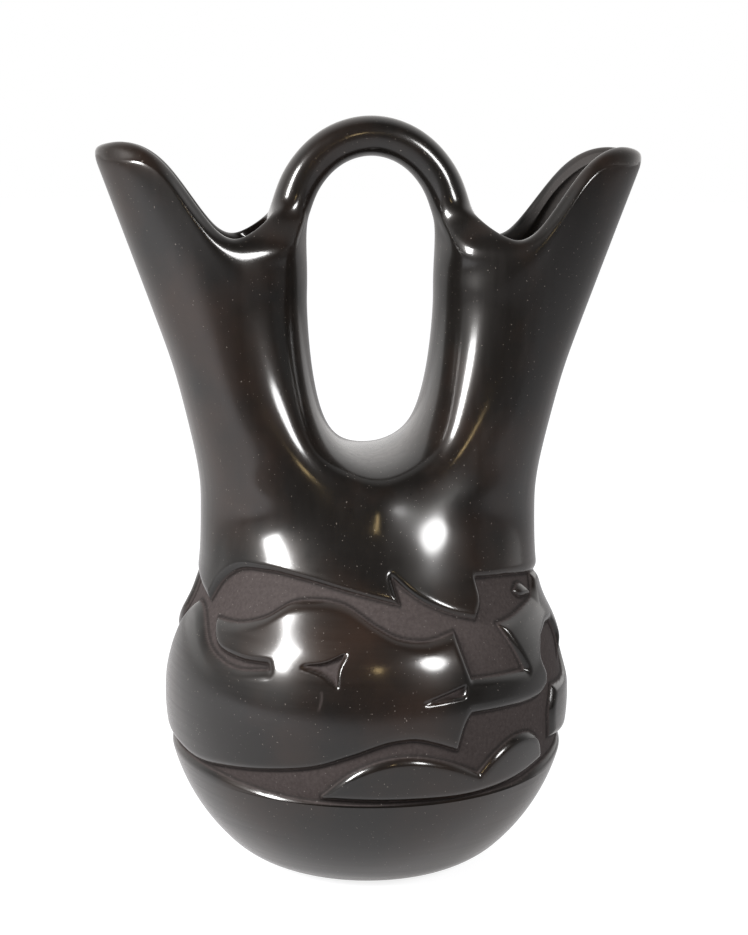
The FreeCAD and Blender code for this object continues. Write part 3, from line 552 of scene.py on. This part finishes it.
def carved_field():
    """Positions, normals and carving mask, with painted shade at the foot of raised edges, of the band
    between bowl and spouts.
    """
    heights = np.arange(FIELD_LOW, FIELD_HIGH + ROW_STEP / 2, ROW_STEP)
    radius = full_turn(smoothed(base_radius(heights), SKIN_SOFT))
    turns = np.arange(COLUMNS) * 2 * math.pi / COLUMNS
    # The design repeats after half a turn; its own half runs from -pi/2 to pi/2.
    own = (turns + math.pi / 2) % math.pi - math.pi / 2
    first = np.argsort(own[:COLUMNS // 2])
    own_half = own[:COLUMNS // 2][first]
    u, v = np.meshgrid(own_half * BELLY_RADIUS, heights)
    raised = np.full(u.shape, -FAR)
    for runs, beyond in ((NECK_EDGE, NECK_BEYOND), (BOWL_EDGE, BOWL_BEYOND)):
        raised = np.maximum(raised, reach(bordered(runs, beyond), u, v))
    for runs in (SERPENT, HILLS, CLOUD):
        line = outline(runs)
        for shift in (-AROUND, 0.0, AROUND):
            raised = np.maximum(raised, reach(line + (shift, 0.0), u, v))
    sunk = np.full(u.shape, -FAR)
    for runs in (EYE, MOUTH):
        sunk = np.maximum(sunk, reach(outline(runs), u, v))
    t = np.clip((raised + EDGE_OUT) / EDGE_WIDTH, 0.0, 1.0)
    body = (1 - (1 - t) ** EDGE_BULGE) ** EDGE_FLAT
    body = body * (1 - ease(np.clip((sunk + SUNK_OUT) / SUNK_WIDTH, 0.0, 1.0)))
    mask = np.maximum(np.clip(0.5 - raised / MASK_WIDTH, 0.0, 1.0),
                      np.clip((sunk + SUNK_MASK_OUT) / SUNK_MASK_WIDTH, 0.0, 1.0))
    scratch = reach(outline(SCRATCH), u, v)
    mask = np.maximum(mask, SCRATCH_MASK * np.exp(-(np.minimum(scratch, 0.0) / SCRATCH_WIDTH) ** 2))
    # Above 1 the mask holds painted shade: a dark line at the foot of a raised edge
    mask = mask + np.exp(-((raised + SHADE_LINE_OUT) / SHADE_LINE_WIDTH) ** 2)
    order = np.empty(COLUMNS // 2, dtype=int)
    order[first] = np.arange(COLUMNS // 2)
    body = np.tile(body[:, order], (1, 2))
    body = (np.roll(body, 1, axis=1) + 2 * body + np.roll(body, -1, axis=1)) / 4
    body[1:-1] = (body[:-2] + 2 * body[1:-1] + body[2:]) / 4
    mask = np.tile(mask[:, order], (1, 2))
    points = field_points(radius - CARVING_DEPTH * (1 - body), heights)
    return points, grid_normals(points), mask


def seam_table():
    """Normals of a softened copy of the skin around the line where the spouts leave the neck."""
    heights = np.arange(SEAM[0], SEAM[1] + 0.5, 1.0)
    return grid_normals(field_points(full_turn(smoothed(base_radius(heights), SEAM_SOFT)), heights))


seam = seam_table()


def eased(points, normals):
    """Blend the normals beside the seam into the softened ones."""
    x, y, z = points[..., 0], points[..., 1], points[..., 2]
    share = ease(np.clip((SEAM_REACH - np.abs(z - NECK_TOP)) / SEAM_FADE, 0.0, 1.0))[..., None]
    column = (np.arctan2(x, -y) / (2 * math.pi) % 1.0) * COLUMNS
    row = np.clip(z - SEAM[0], 0.0, SEAM[1] - SEAM[0] - 0.001)
    c, r = np.floor(column).astype(int), np.floor(row).astype(int)
    fc, fr = (column - c)[..., None], (row - r)[..., None]
    c, d = c % COLUMNS, (c + 1) % COLUMNS
    low = seam[r, c] * (1 - fc) + seam[r, d] * fc
    high = seam[r + 1, c] * (1 - fc) + seam[r + 1, d] * fc
    soft = low * (1 - fr) + high * fr
    mixed = normals * (1 - share) + soft * share
    return mixed / np.linalg.norm(mixed, axis=-1, keepdims=True)


def piece(name, points, faces, normals, masks):
    """A mesh object in metres with its own normals and vertex masks."""
    mesh = bpy.data.meshes.new(name)
    mesh.from_pydata((points * MM).tolist(), [], [tuple(int(i) for i in f) for f in faces])
    mesh.polygons.foreach_set("use_smooth", [True] * len(mesh.polygons))
    for key, values in masks.items():
        layer = mesh.attributes.new(key, "FLOAT", "POINT")
        layer.data.foreach_set("value", np.asarray(values, dtype=np.float32))
    mesh.update()
    mesh.normals_split_custom_set_from_vertices(normals.tolist())
    item = bpy.data.objects.new(name, mesh)
    bpy.context.scene.collection.objects.link(item)
    return item


def turned_rows(rows, columns):
    """Points of rows given as (radius across, radius ahead, height)."""
    turns = np.arange(columns) * 2 * math.pi / columns
    out = []
    for across, ahead, height in rows:
        level = np.full(columns, height)
        out.append(np.stack([across * np.sin(turns), -ahead * np.cos(turns), level], axis=-1))
    return np.array(out)


def grid_faces(rows, columns):
    """Quads between rows of points that run round the jar."""
    i, j = np.meshgrid(np.arange(rows - 1), np.arange(columns), indexing="ij")
    k = (j + 1) % columns
    low, high = i * columns, (i + 1) * columns
    return np.stack([low + j, low + k, high + k, high + j], axis=-1).reshape(-1, 4)


def ring_wall(name, outer, outer_normals, inner, mask):
    """A wall closed between an outer and an inner grid that have the same columns."""
    columns = outer.shape[1]
    grid = np.concatenate([outer, inner], axis=0)
    normals = np.concatenate([outer_normals, grid_normals(inner)], axis=0).reshape(-1, 3)
    rows = grid.shape[0]
    faces = grid_faces(rows, columns)
    j = np.arange(columns)
    k = (j + 1) % columns
    last = (rows - 1) * columns
    faces = np.concatenate([faces, np.stack([last + j, last + k, k, j], axis=-1)])
    inside = np.concatenate([np.zeros(outer.shape[:2]), np.ones(inner.shape[:2])]).reshape(-1)
    carve_and_shade = np.concatenate([mask, np.zeros(inner.shape[:2])]).reshape(-1)
    return piece(name, grid.reshape(-1, 3), faces, normals, {"inside": inside, "carve_and_shade": carve_and_shade})


field, field_normals, carve_and_shade_mask = carved_field()


def rows_between(low, high):
    """The field's rows from one height to another."""
    a = int(round((low - FIELD_LOW) / ROW_STEP))
    b = int(round((high - FIELD_LOW) / ROW_STEP))
    return slice(a, b + 1)


# Radii of the rings on the flat foot, and columns and rows of the bowl and the linings
FOOT_RINGS = (6.0, 12.0, 18.0, 24.0)
BOWL_COLUMNS, HEEL_STEPS, BALL_STEPS, HOLLOW_STEPS, FLOOR_STEPS = 360, 18, 40, 30, 15
BELLY_LINING_ROWS, NECK_LINING_ROWS, LINING_BLEND = 25, 19, 8.0
# Steps and narrowing of the neck's lap under the spouts' skin
LAP_LOW, LAP_HIGH, LAP_SCALES = 0.5, 1.0, (0.9985, 0.996)


def arc(across, height, radius, start, end, steps, first, facing):
    """Profile rows on an arc, each (radius, height, normal), facing out (1) or in (-1)."""
    rows = []
    for i in range(first, steps + 1):
        a = start + (end - start) * i / steps
        c, s = math.cos(a), math.sin(a)
        rows.append((across + radius * c, height + radius * s, (facing * c, facing * s)))
    return rows


def make_bowl():
    """Foot, heel curve and ball up to the bowl's edge, with its lining."""
    columns = BOWL_COLUMNS
    inside = BELLY_RADIUS - WALL
    turn_in = (BELLY_RADIUS ** 2 - FOOT_RADIUS ** 2 - BELLY_MIDDLE ** 2) / (2 * (BELLY_RADIUS - BELLY_MIDDLE))
    touch = math.atan2(BELLY_MIDDLE - turn_in, -FOOT_RADIUS) - math.pi
    down = -math.pi / 2
    edge = math.asin((BOWL_TOP - BELLY_MIDDLE) / BELLY_RADIUS)
    inner_edge = math.asin((BOWL_TOP - BELLY_MIDDLE) / inside)
    profile = [(r, 0.0, (0.0, -1.0)) for r in FOOT_RINGS]
    profile += arc(FOOT_RADIUS, turn_in, turn_in, down, touch, HEEL_STEPS, 0, 1)
    profile += arc(0.0, BELLY_MIDDLE, BELLY_RADIUS, touch, edge, BALL_STEPS, 1, 1)
    inner = arc(0.0, BELLY_MIDDLE, inside, inner_edge, touch, HOLLOW_STEPS, 0, -1)
    inner += arc(FOOT_RADIUS, turn_in, turn_in - WALL, touch, down, FLOOR_STEPS, 1, -1)
    inner += [(r, WALL, (0.0, 1.0)) for r in reversed(FOOT_RINGS)]
    both = profile + inner
    turns = np.arange(columns) * 2 * math.pi / columns
    ring = np.stack([np.sin(turns), -np.cos(turns)], axis=-1)
    points = np.array([[(r * x, r * y, z) for x, y in ring] for r, z, n in both]).reshape(-1, 3)
    normals = np.array([[(n[0] * x, n[0] * y, n[1]) for x, y in ring] for r, z, n in both]).reshape(-1, 3)
    faces = [tuple(f) for f in grid_faces(len(both), columns)]
    points = np.vstack([points, [(0.0, 0.0, 0.0), (0.0, 0.0, WALL)]])
    normals = np.vstack([normals, [(0.0, 0.0, -1.0), (0.0, 0.0, 1.0)]])
    last = (len(both) - 1) * columns
    for j in range(columns):
        k = (j + 1) % columns
        faces.append((k, j, len(points) - 2))
        faces.append((last + j, last + k, len(points) - 1))
    flags = np.repeat([0.0] * len(profile) + [1.0] * len(inner), columns)
    flags = np.concatenate([flags, [0.0, 1.0]])
    return piece("base_bowl_clay", points, faces, normals, {"inside": flags, "carve_and_shade": np.zeros(len(points))})


def make_belly():
    """The carved ball from the bowl's edge to the shoulder."""
    rows = rows_between(BOWL_TOP, SHOULDER)
    inside = BELLY_RADIUS - WALL
    levels = np.linspace(SHOULDER, BOWL_TOP, BELLY_LINING_ROWS)
    lining = [math.sqrt(inside ** 2 - (z - BELLY_MIDDLE) ** 2) for z in levels]
    inner = turned_rows([(r, r, z) for r, z in zip(lining, levels)], COLUMNS)
    return ring_wall("belly_clay", field[rows], field_normals[rows], inner, carve_and_shade_mask[rows])


def make_neck():
    """The neck from the shoulder up, with a lap just under the spouts' skin that closes the seam."""
    rows = rows_between(SHOULDER, NECK_TOP)
    lap_rows = rows_between(NECK_TOP + LAP_LOW, NECK_TOP + LAP_HIGH)
    lap = field[lap_rows].copy()
    lap[..., :2] *= np.array(LAP_SCALES)[:, None, None]
    outer = np.concatenate([field[rows], lap])
    normals = np.concatenate([eased(field[rows], field_normals[rows]), eased(lap, field_normals[lap_rows])])
    mask = np.concatenate([carve_and_shade_mask[rows], np.zeros(lap.shape[:2])])
    levels = np.linspace(NECK_TOP + LAP_HIGH, SHOULDER, NECK_LINING_ROWS)
    start = math.sqrt((BELLY_RADIUS - WALL) ** 2 - (SHOULDER - BELLY_MIDDLE) ** 2)
    lining = []
    for z in levels:
        share = min((z - SHOULDER) / LINING_BLEND, 1.0)
        wide, deep = [start + (size - SPOUT_WALL - start) * share for size in along(NECK, min(z, NECK_TOP))]
        lining.append((wide, deep, z))
    return ring_wall("neck_clay", outer, normals, turned_rows(lining, COLUMNS), mask)


# A vertex whose share of lining faces is under this lies on the skin
ALL_OUTSIDE = 0.01


def make_upper(name, ident):
    """One marked part of the upper surface, its open ends closed inside the wall."""
    own = (upper.marks % INSIDE) == ident
    quads = upper.quads[own]
    used, flat = np.unique(quads, return_inverse=True)
    faces = flat.reshape(-1, 4)
    points = upper.points[used]
    normals = upper.normals[used]
    inside = np.zeros(len(used))
    count = np.zeros(len(used))
    flag = (upper.marks[own] >= INSIDE).astype(float)
    for c in range(4):
        np.add.at(inside, faces[:, c], flag)
        np.add.at(count, faces[:, c], 1.0)
    inside /= count
    skin = (inside < ALL_OUTSIDE) & (points[:, 2] < SEAM[1])
    normals[skin] = eased(points[skin], normals[skin])
    shape = bmesh.new()
    for point in points:
        shape.verts.new(point)
    shape.verts.ensure_lookup_table()
    for f in faces:
        shape.faces.new([shape.verts[i] for i in f])
    shape.edges.index_update()
    loops = []
    left = {edge for edge in shape.edges if edge.is_boundary}
    while left:
        first = min(left, key=lambda edge: edge.index)
        left.discard(first)
        loop, ends = [first], [first.verts[1]]
        while True:
            step = next((e for e in ends[-1].link_edges if e in left), None)
            if step is None:
                break
            left.discard(step)
            loop.append(step)
            ends.append(step.other_vert(ends[-1]))
        loops.append(loop)
    if ident == STIRRUP_ID:
        for loop in loops:
            bmesh.ops.contextual_create(shape, geom=loop)
    else:
        pair = sorted(loops, key=len, reverse=True)[:2]
        bmesh.ops.bridge_loops(shape, edges=pair[0] + pair[1])
        for loop in loops:
            if loop not in pair:
                bmesh.ops.contextual_create(shape, geom=loop)
    bmesh.ops.recalc_face_normals(shape, faces=shape.faces)
    shape.verts.index_update()
    found = [tuple(v.index for v in f.verts) for f in shape.faces]
    shape.free()
    return piece(name, points, found, normals, {"inside": inside, "carve_and_shade": np.zeros(len(points))})


bowl = make_bowl()
belly = make_belly()
neck = make_neck()
left_spout = make_upper("left_spout_clay", LEFT_ID)
right_spout = make_upper("right_spout_clay", RIGHT_ID)
stirrup = make_upper("stirrup_clay", STIRRUP_ID)


class Nodes:
    """Short hand for building one node tree."""

    def __init__(self, tree):
        self.tree = tree
        tree.nodes.clear()

    def make(self, kind, values=(), **settings):
        node = self.tree.nodes.new(kind)
        for key, value in settings.items():
            setattr(node, key, value)
        for key, value in dict(values).items():
            if isinstance(value, bpy.types.NodeSocket):
                self.tree.links.new(value, node.inputs[key])
            else:
                node.inputs[key].default_value = value
        return node

    def math(self, operation, a, b=0.0, c=0.0, clamp=False):
        node = self.make("ShaderNodeMath", {0: a, 1: b, 2: c}, operation=operation, use_clamp=clamp)
        return node.outputs[0]

    def mix(self, factor, a, b):
        node = self.make("ShaderNodeMix", {0: factor, 6: a, 7: b}, data_type="RGBA")
        return node.outputs[2]

    def blend(self, factor, a, b):
        node = self.make("ShaderNodeMix", {0: factor, 2: a, 3: b}, data_type="FLOAT")
        return node.outputs[0]

    def noise(self, place, scale, detail=3.0, rough=0.5, stretch=None):
        if stretch:
            place = self.make("ShaderNodeMapping", {"Vector": place, "Scale": stretch}).outputs[0]
        node = self.make("ShaderNodeTexNoise", {"Vector": place, "Scale": scale, "Detail": detail,
                                                "Roughness": rough})
        return node.outputs["Fac"]

    def ramp(self, value, low, high, start=0.0, end=1.0):
        node = self.make("ShaderNodeMapRange", {"Value": value, "From Min": low, "From Max": high,
                                                "To Min": start, "To Max": end}, clamp=True)
        return node.outputs[0]

    def rays(self):
        """Factors of the rays that see a thing itself and of the glossy ones."""
        path = self.make("ShaderNodeLightPath")
        seen = self.math("MAXIMUM", path.outputs["Is Camera Ray"], path.outputs["Is Transmission Ray"])
        return seen, path.outputs["Is Glossy Ray"]


# Colours of the clay: polished and its brown clouds, carved ground and inside (dark, pale), painted shade at
# the foot of raised edges, dust
POLISHED, CLOUDED = (0.0050, 0.0046, 0.0043, 1), (0.0165, 0.0105, 0.0080, 1)
GROUND = (0.030, 0.0235, 0.0225, 1), (0.044, 0.0355, 0.0340, 1)
HOLLOW = (0.028, 0.025, 0.024, 1), (0.040, 0.036, 0.034, 1)
FOOT_SHADE, DUST, COAT_TINT = (0.006, 0.005, 0.0045, 1), (0.30, 0.28, 0.26, 1), (1.0, 0.93, 0.88, 1)
# Roughness of the polished clay between its strokes, of the carved ground and of the inside
SLEEK, STROKED, GROUND_ROUGH, HOLLOW_ROUGH = 0.27, 0.40, 0.72, 0.62
# Stretch of the strokes' noise round the belly and up the spouts, and the heights between the two
ROUND_STROKES, UPRIGHT_STROKES = (14.0, 14.0, 700.0), (420.0, 420.0, 12.0)
STROKES_TURN = 0.088, 0.128
# Noises: scale, detail and roughness
CLOUD_NOISE, STROKE_NOISE, GRAIN_NOISE = (22.0, 4.0, 0.55), (1.0, 2.0, 0.6), (900.0, 3.0, 0.6)
SPECK_NOISE, WAVE_NOISE = (1500.0, 1.0, 0.5), (45.0, 2.0, 0.5)
# Parts of a noise's range that a look goes over: brown clouds, dark to pale, sleek to stroked, dust
CLOUD_RANGE, TONE_RANGE, STROKE_RANGE, DUST_RANGE = (0.46, 0.72), (0.3, 0.7), (0.25, 0.75), (0.75, 0.78)
# Shares of the painted shade line at raised edges and of the dust
FOOT_SHADE_SHARE, DUST_SHARE = 0.75, 0.35
# Bumps: strength and depth in metres
WAVE_BUMP, STROKE_BUMP, PIT_BUMP = (0.6, 0.0004), (0.05, 0.0002), (0.35, 0.0003)
# The burnish as a coat, and the clay under it
CLAY_IOR, CLAY_SPECULAR, COAT_WEIGHT, COAT_ROUGH, COAT_IOR = 1.5, 0.12, 0.9, 0.15, 1.5


def clay(name):
    """Stone-burnished black clay over a matte carved ground and an unpolished inside."""
    material = bpy.data.materials.new(name)
    material.use_nodes = True
    n = Nodes(material.node_tree)
    place = n.make("ShaderNodeTexCoord").outputs["Object"]
    carve_and_shade = n.make("ShaderNodeAttribute", attribute_name="carve_and_shade").outputs["Fac"]
    inside = n.make("ShaderNodeAttribute", attribute_name="inside").outputs["Fac"]
    clouds = n.noise(place, *CLOUD_NOISE)
    # Polishing strokes run around the belly and up the spouts
    height = n.make("ShaderNodeSeparateXYZ", {"Vector": place}).outputs["Z"]
    strokes = n.blend(n.ramp(height, *STROKES_TURN), n.noise(place, *STROKE_NOISE, ROUND_STROKES),
                      n.noise(place, *STROKE_NOISE, UPRIGHT_STROKES))
    grain = n.noise(place, *GRAIN_NOISE)
    specks = n.noise(place, *SPECK_NOISE)
    brown = n.ramp(clouds, *CLOUD_RANGE)
    polished = n.mix(brown, POLISHED, CLOUDED)
    ground = n.mix(n.ramp(grain, *TONE_RANGE), *GROUND)
    hollow = n.mix(n.ramp(clouds, *TONE_RANGE), *HOLLOW)
    colour = n.mix(carve_and_shade, polished, ground)
    # Painted shade: where the carving mask is above 1, the foot of each raised edge is darkened
    colour = n.mix(n.math("MULTIPLY", n.ramp(carve_and_shade, 1.0, 2.0), FOOT_SHADE_SHARE), colour, FOOT_SHADE)
    colour = n.mix(inside, colour, hollow)
    dust = n.ramp(specks, *DUST_RANGE)
    colour = n.mix(n.math("MULTIPLY", dust, DUST_SHARE), colour, DUST)
    rough = n.ramp(strokes, *STROKE_RANGE, SLEEK, STROKED)
    rough = n.blend(carve_and_shade, rough, GROUND_ROUGH)
    rough = n.blend(inside, rough, HOLLOW_ROUGH)
    dull = n.math("MAXIMUM", carve_and_shade, inside)
    gloss = n.math("SUBTRACT", 1.0, dull, clamp=True)
    waves = n.noise(place, *WAVE_NOISE)
    bump = n.make("ShaderNodeBump", {"Strength": WAVE_BUMP[0], "Distance": WAVE_BUMP[1], "Height": waves})
    lines = n.make("ShaderNodeBump", {"Strength": STROKE_BUMP[0], "Distance": STROKE_BUMP[1],
                                      "Height": strokes, "Normal": bump.outputs[0]})
    pits = n.make("ShaderNodeBump", {"Strength": n.math("MULTIPLY", dull, PIT_BUMP[0]),
                                     "Distance": PIT_BUMP[1], "Height": grain, "Normal": lines.outputs[0]})
    shader = n.make("ShaderNodeBsdfPrincipled", {
        "Base Color": colour, "Roughness": rough, "Normal": pits.outputs[0], "IOR": CLAY_IOR,
        "Specular IOR Level": CLAY_SPECULAR, "Coat Weight": n.math("MULTIPLY", gloss, COAT_WEIGHT),
        "Coat Roughness": COAT_ROUGH, "Coat Tint": COAT_TINT, "Coat IOR": COAT_IOR})
    n.make("ShaderNodeOutputMaterial", {"Surface": shader.outputs[0]})
    return material


burnished = clay("burnished_blackware")
pieces = {
    "base_bowl": (bowl, burnished, "burnished_clay"),
    "belly_wall": (belly, burnished, "carved_clay"),
    "neck_trunk": (neck, burnished, "burnished_clay"),
    "left_spout": (left_spout, burnished, "burnished_clay"),
    "right_spout": (right_spout, burnished, "burnished_clay"),
    "stirrup_handle": (stirrup, burnished, "burnished_clay"),
}
for node, (item, material, slot) in pieces.items():
    item.data.materials.append(material)
    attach(item, "root")
    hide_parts(node)


# Half width of the floor in metres, its brightness to the camera and its colour in the lamps' light
FLOOR_REACH, FLOOR_GLOW, FLOOR_COLOUR = 8.0, 0.84, (0.30, 0.30, 0.31, 1)
# The sheet: from and to in metres, and its brightness there, across the jar and ahead of it
SHEET_ACROSS, SHEET_AHEAD = (0.04, 0.24, 0.40, 0.16), (-0.55, -0.10, 0.05, 1.0)


def make_floor():
    """Pale floor that reflections find as a white sheet, ending on the jar's right and in front."""
    mesh = bpy.data.meshes.new("studio_floor")
    far = FLOOR_REACH
    mesh.from_pydata([(-far, -far, 0), (far, -far, 0), (far, far, 0), (-far, far, 0)], [], [(0, 1, 2, 3)])
    item = bpy.data.objects.new("studio_floor", mesh)
    bpy.context.scene.collection.objects.link(item)
    material = bpy.data.materials.new("pale_floor")
    material.use_nodes = True
    n = Nodes(material.node_tree)
    seen, glossy = n.rays()
    place = n.make("ShaderNodeTexCoord").outputs["Object"]
    across, ahead, _ = n.make("ShaderNodeSeparateXYZ", {0: place}).outputs
    sheet = n.math("MULTIPLY", n.ramp(across, *SHEET_ACROSS), n.ramp(ahead, *SHEET_AHEAD))
    strength = n.math("ADD", n.math("MULTIPLY", seen, FLOOR_GLOW), n.math("MULTIPLY", glossy, sheet))
    lit = n.make("ShaderNodeBsdfDiffuse", {"Color": FLOOR_COLOUR})
    glow = n.make("ShaderNodeEmission", {"Color": (1, 1, 1, 1), "Strength": strength})
    both = n.make("ShaderNodeAddShader", {0: lit.outputs[0], 1: glow.outputs[0]})
    n.make("ShaderNodeOutputMaterial", {"Surface": both.outputs[0]})
    mesh.materials.append(material)


make_floor()


# Brightness of the matte light, and of the room's front, left and right in reflections
EVEN_LIGHT, ROOM_LIGHT, LEFT_LIGHT, RIGHT_LIGHT = 0.55, 0.02, 0.55, 0.25
# Where the backdrop and the white sides start and end, as parts of a direction of length 1
BACKDROP, LEFT_SIDE, RIGHT_SIDE = (-0.20, 0.40), (-0.66, -0.82), (0.84, 0.93)


def make_world():
    """White surround for the camera; a dark room in front and white sides for reflections."""
    world = bpy.data.worlds.new("studio")
    world.use_nodes = True
    bpy.context.scene.world = world
    n = Nodes(world.node_tree)
    way = n.make("ShaderNodeTexCoord").outputs["Generated"]
    x, y, _ = n.make("ShaderNodeSeparateXYZ", {0: way}).outputs
    backdrop = n.ramp(y, *BACKDROP)
    left = n.math("MULTIPLY", n.ramp(x, *LEFT_SIDE), LEFT_LIGHT)
    right = n.math("MULTIPLY", n.ramp(x, *RIGHT_SIDE), RIGHT_LIGHT)
    sides = n.math("MAXIMUM", left, right)
    room = n.math("MAXIMUM", n.math("MAXIMUM", backdrop, sides), ROOM_LIGHT)
    seen, glossy = n.rays()
    # Matte light is even; only reflections find the dark room.
    strength = n.blend(seen, n.blend(glossy, EVEN_LIGHT, room), 1.0)
    light = n.make("ShaderNodeBackground", {"Color": (1, 1, 1, 1), "Strength": strength})
    n.make("ShaderNodeOutputWorld", {"Surface": light.outputs[0]})


make_world()

# Camera at the photograph's viewing angle: a little left of the front, looking down, slightly rolled
TURN, DOWN, ROLL = math.radians(6.0), math.radians(10.14), math.radians(0.6)
EYE_MM, LENS, SENSOR = (-60.9, -596.9, 242.6), 68.4, 36.0
view = Vector((math.sin(TURN) * math.cos(DOWN), math.cos(TURN) * math.cos(DOWN), -math.sin(DOWN)))
camera_data = bpy.data.cameras.new("camera")
camera_data.lens, camera_data.sensor_width = LENS, SENSOR
camera = bpy.data.objects.new("camera", camera_data)
camera.location = Vector(EYE_MM) * MM
aim = view.to_track_quat("-Z", "Y").to_matrix()
camera.rotation_euler = (aim @ Matrix.Rotation(ROLL, 3, "Z")).to_euler()
bpy.context.scene.collection.objects.link(camera)
bpy.context.scene.camera = camera

# Lamps: degrees from the camera's axis and upwards, distance, shape, width, height, power, colour
WHITE = (1.0, 1.0, 1.0)
LAMPS = [
    ("left_lamp", -52.0, 27.0, 1.1, "RECTANGLE", 0.22, 0.48, 24.0, WHITE),
    ("right_lamp", 41.0, 27.0, 1.2, "ELLIPSE", 0.30, 0.36, 10.0, WHITE),
    ("warm_lamp", 7.0, 24.0, 1.2, "ELLIPSE", 0.07, 0.14, 0.35, (1.0, 0.74, 0.36)),
]
LAMPS_AIM = Vector((0.0, 0.0, 0.12))
for name, aside, above, distance, form, width, height, power, tint in LAMPS:
    data = bpy.data.lights.new(name, "AREA")
    data.shape, data.size, data.size_y = form, width, height
    data.energy, data.color = power, tint
    lamp = bpy.data.objects.new(name, data)
    turn, rise = math.radians(aside) - TURN, math.radians(above)
    way = Vector((math.sin(turn) * math.cos(rise), -math.cos(turn) * math.cos(rise), math.sin(rise)))
    lamp.location = LAMPS_AIM + way * distance
    lamp.rotation_euler = (-way).to_track_quat("-Z", "Y").to_euler()
    lamp.visible_camera = False
    bpy.context.scene.collection.objects.link(lamp)

bpy.context.scene.view_settings.view_transform = "Standard"
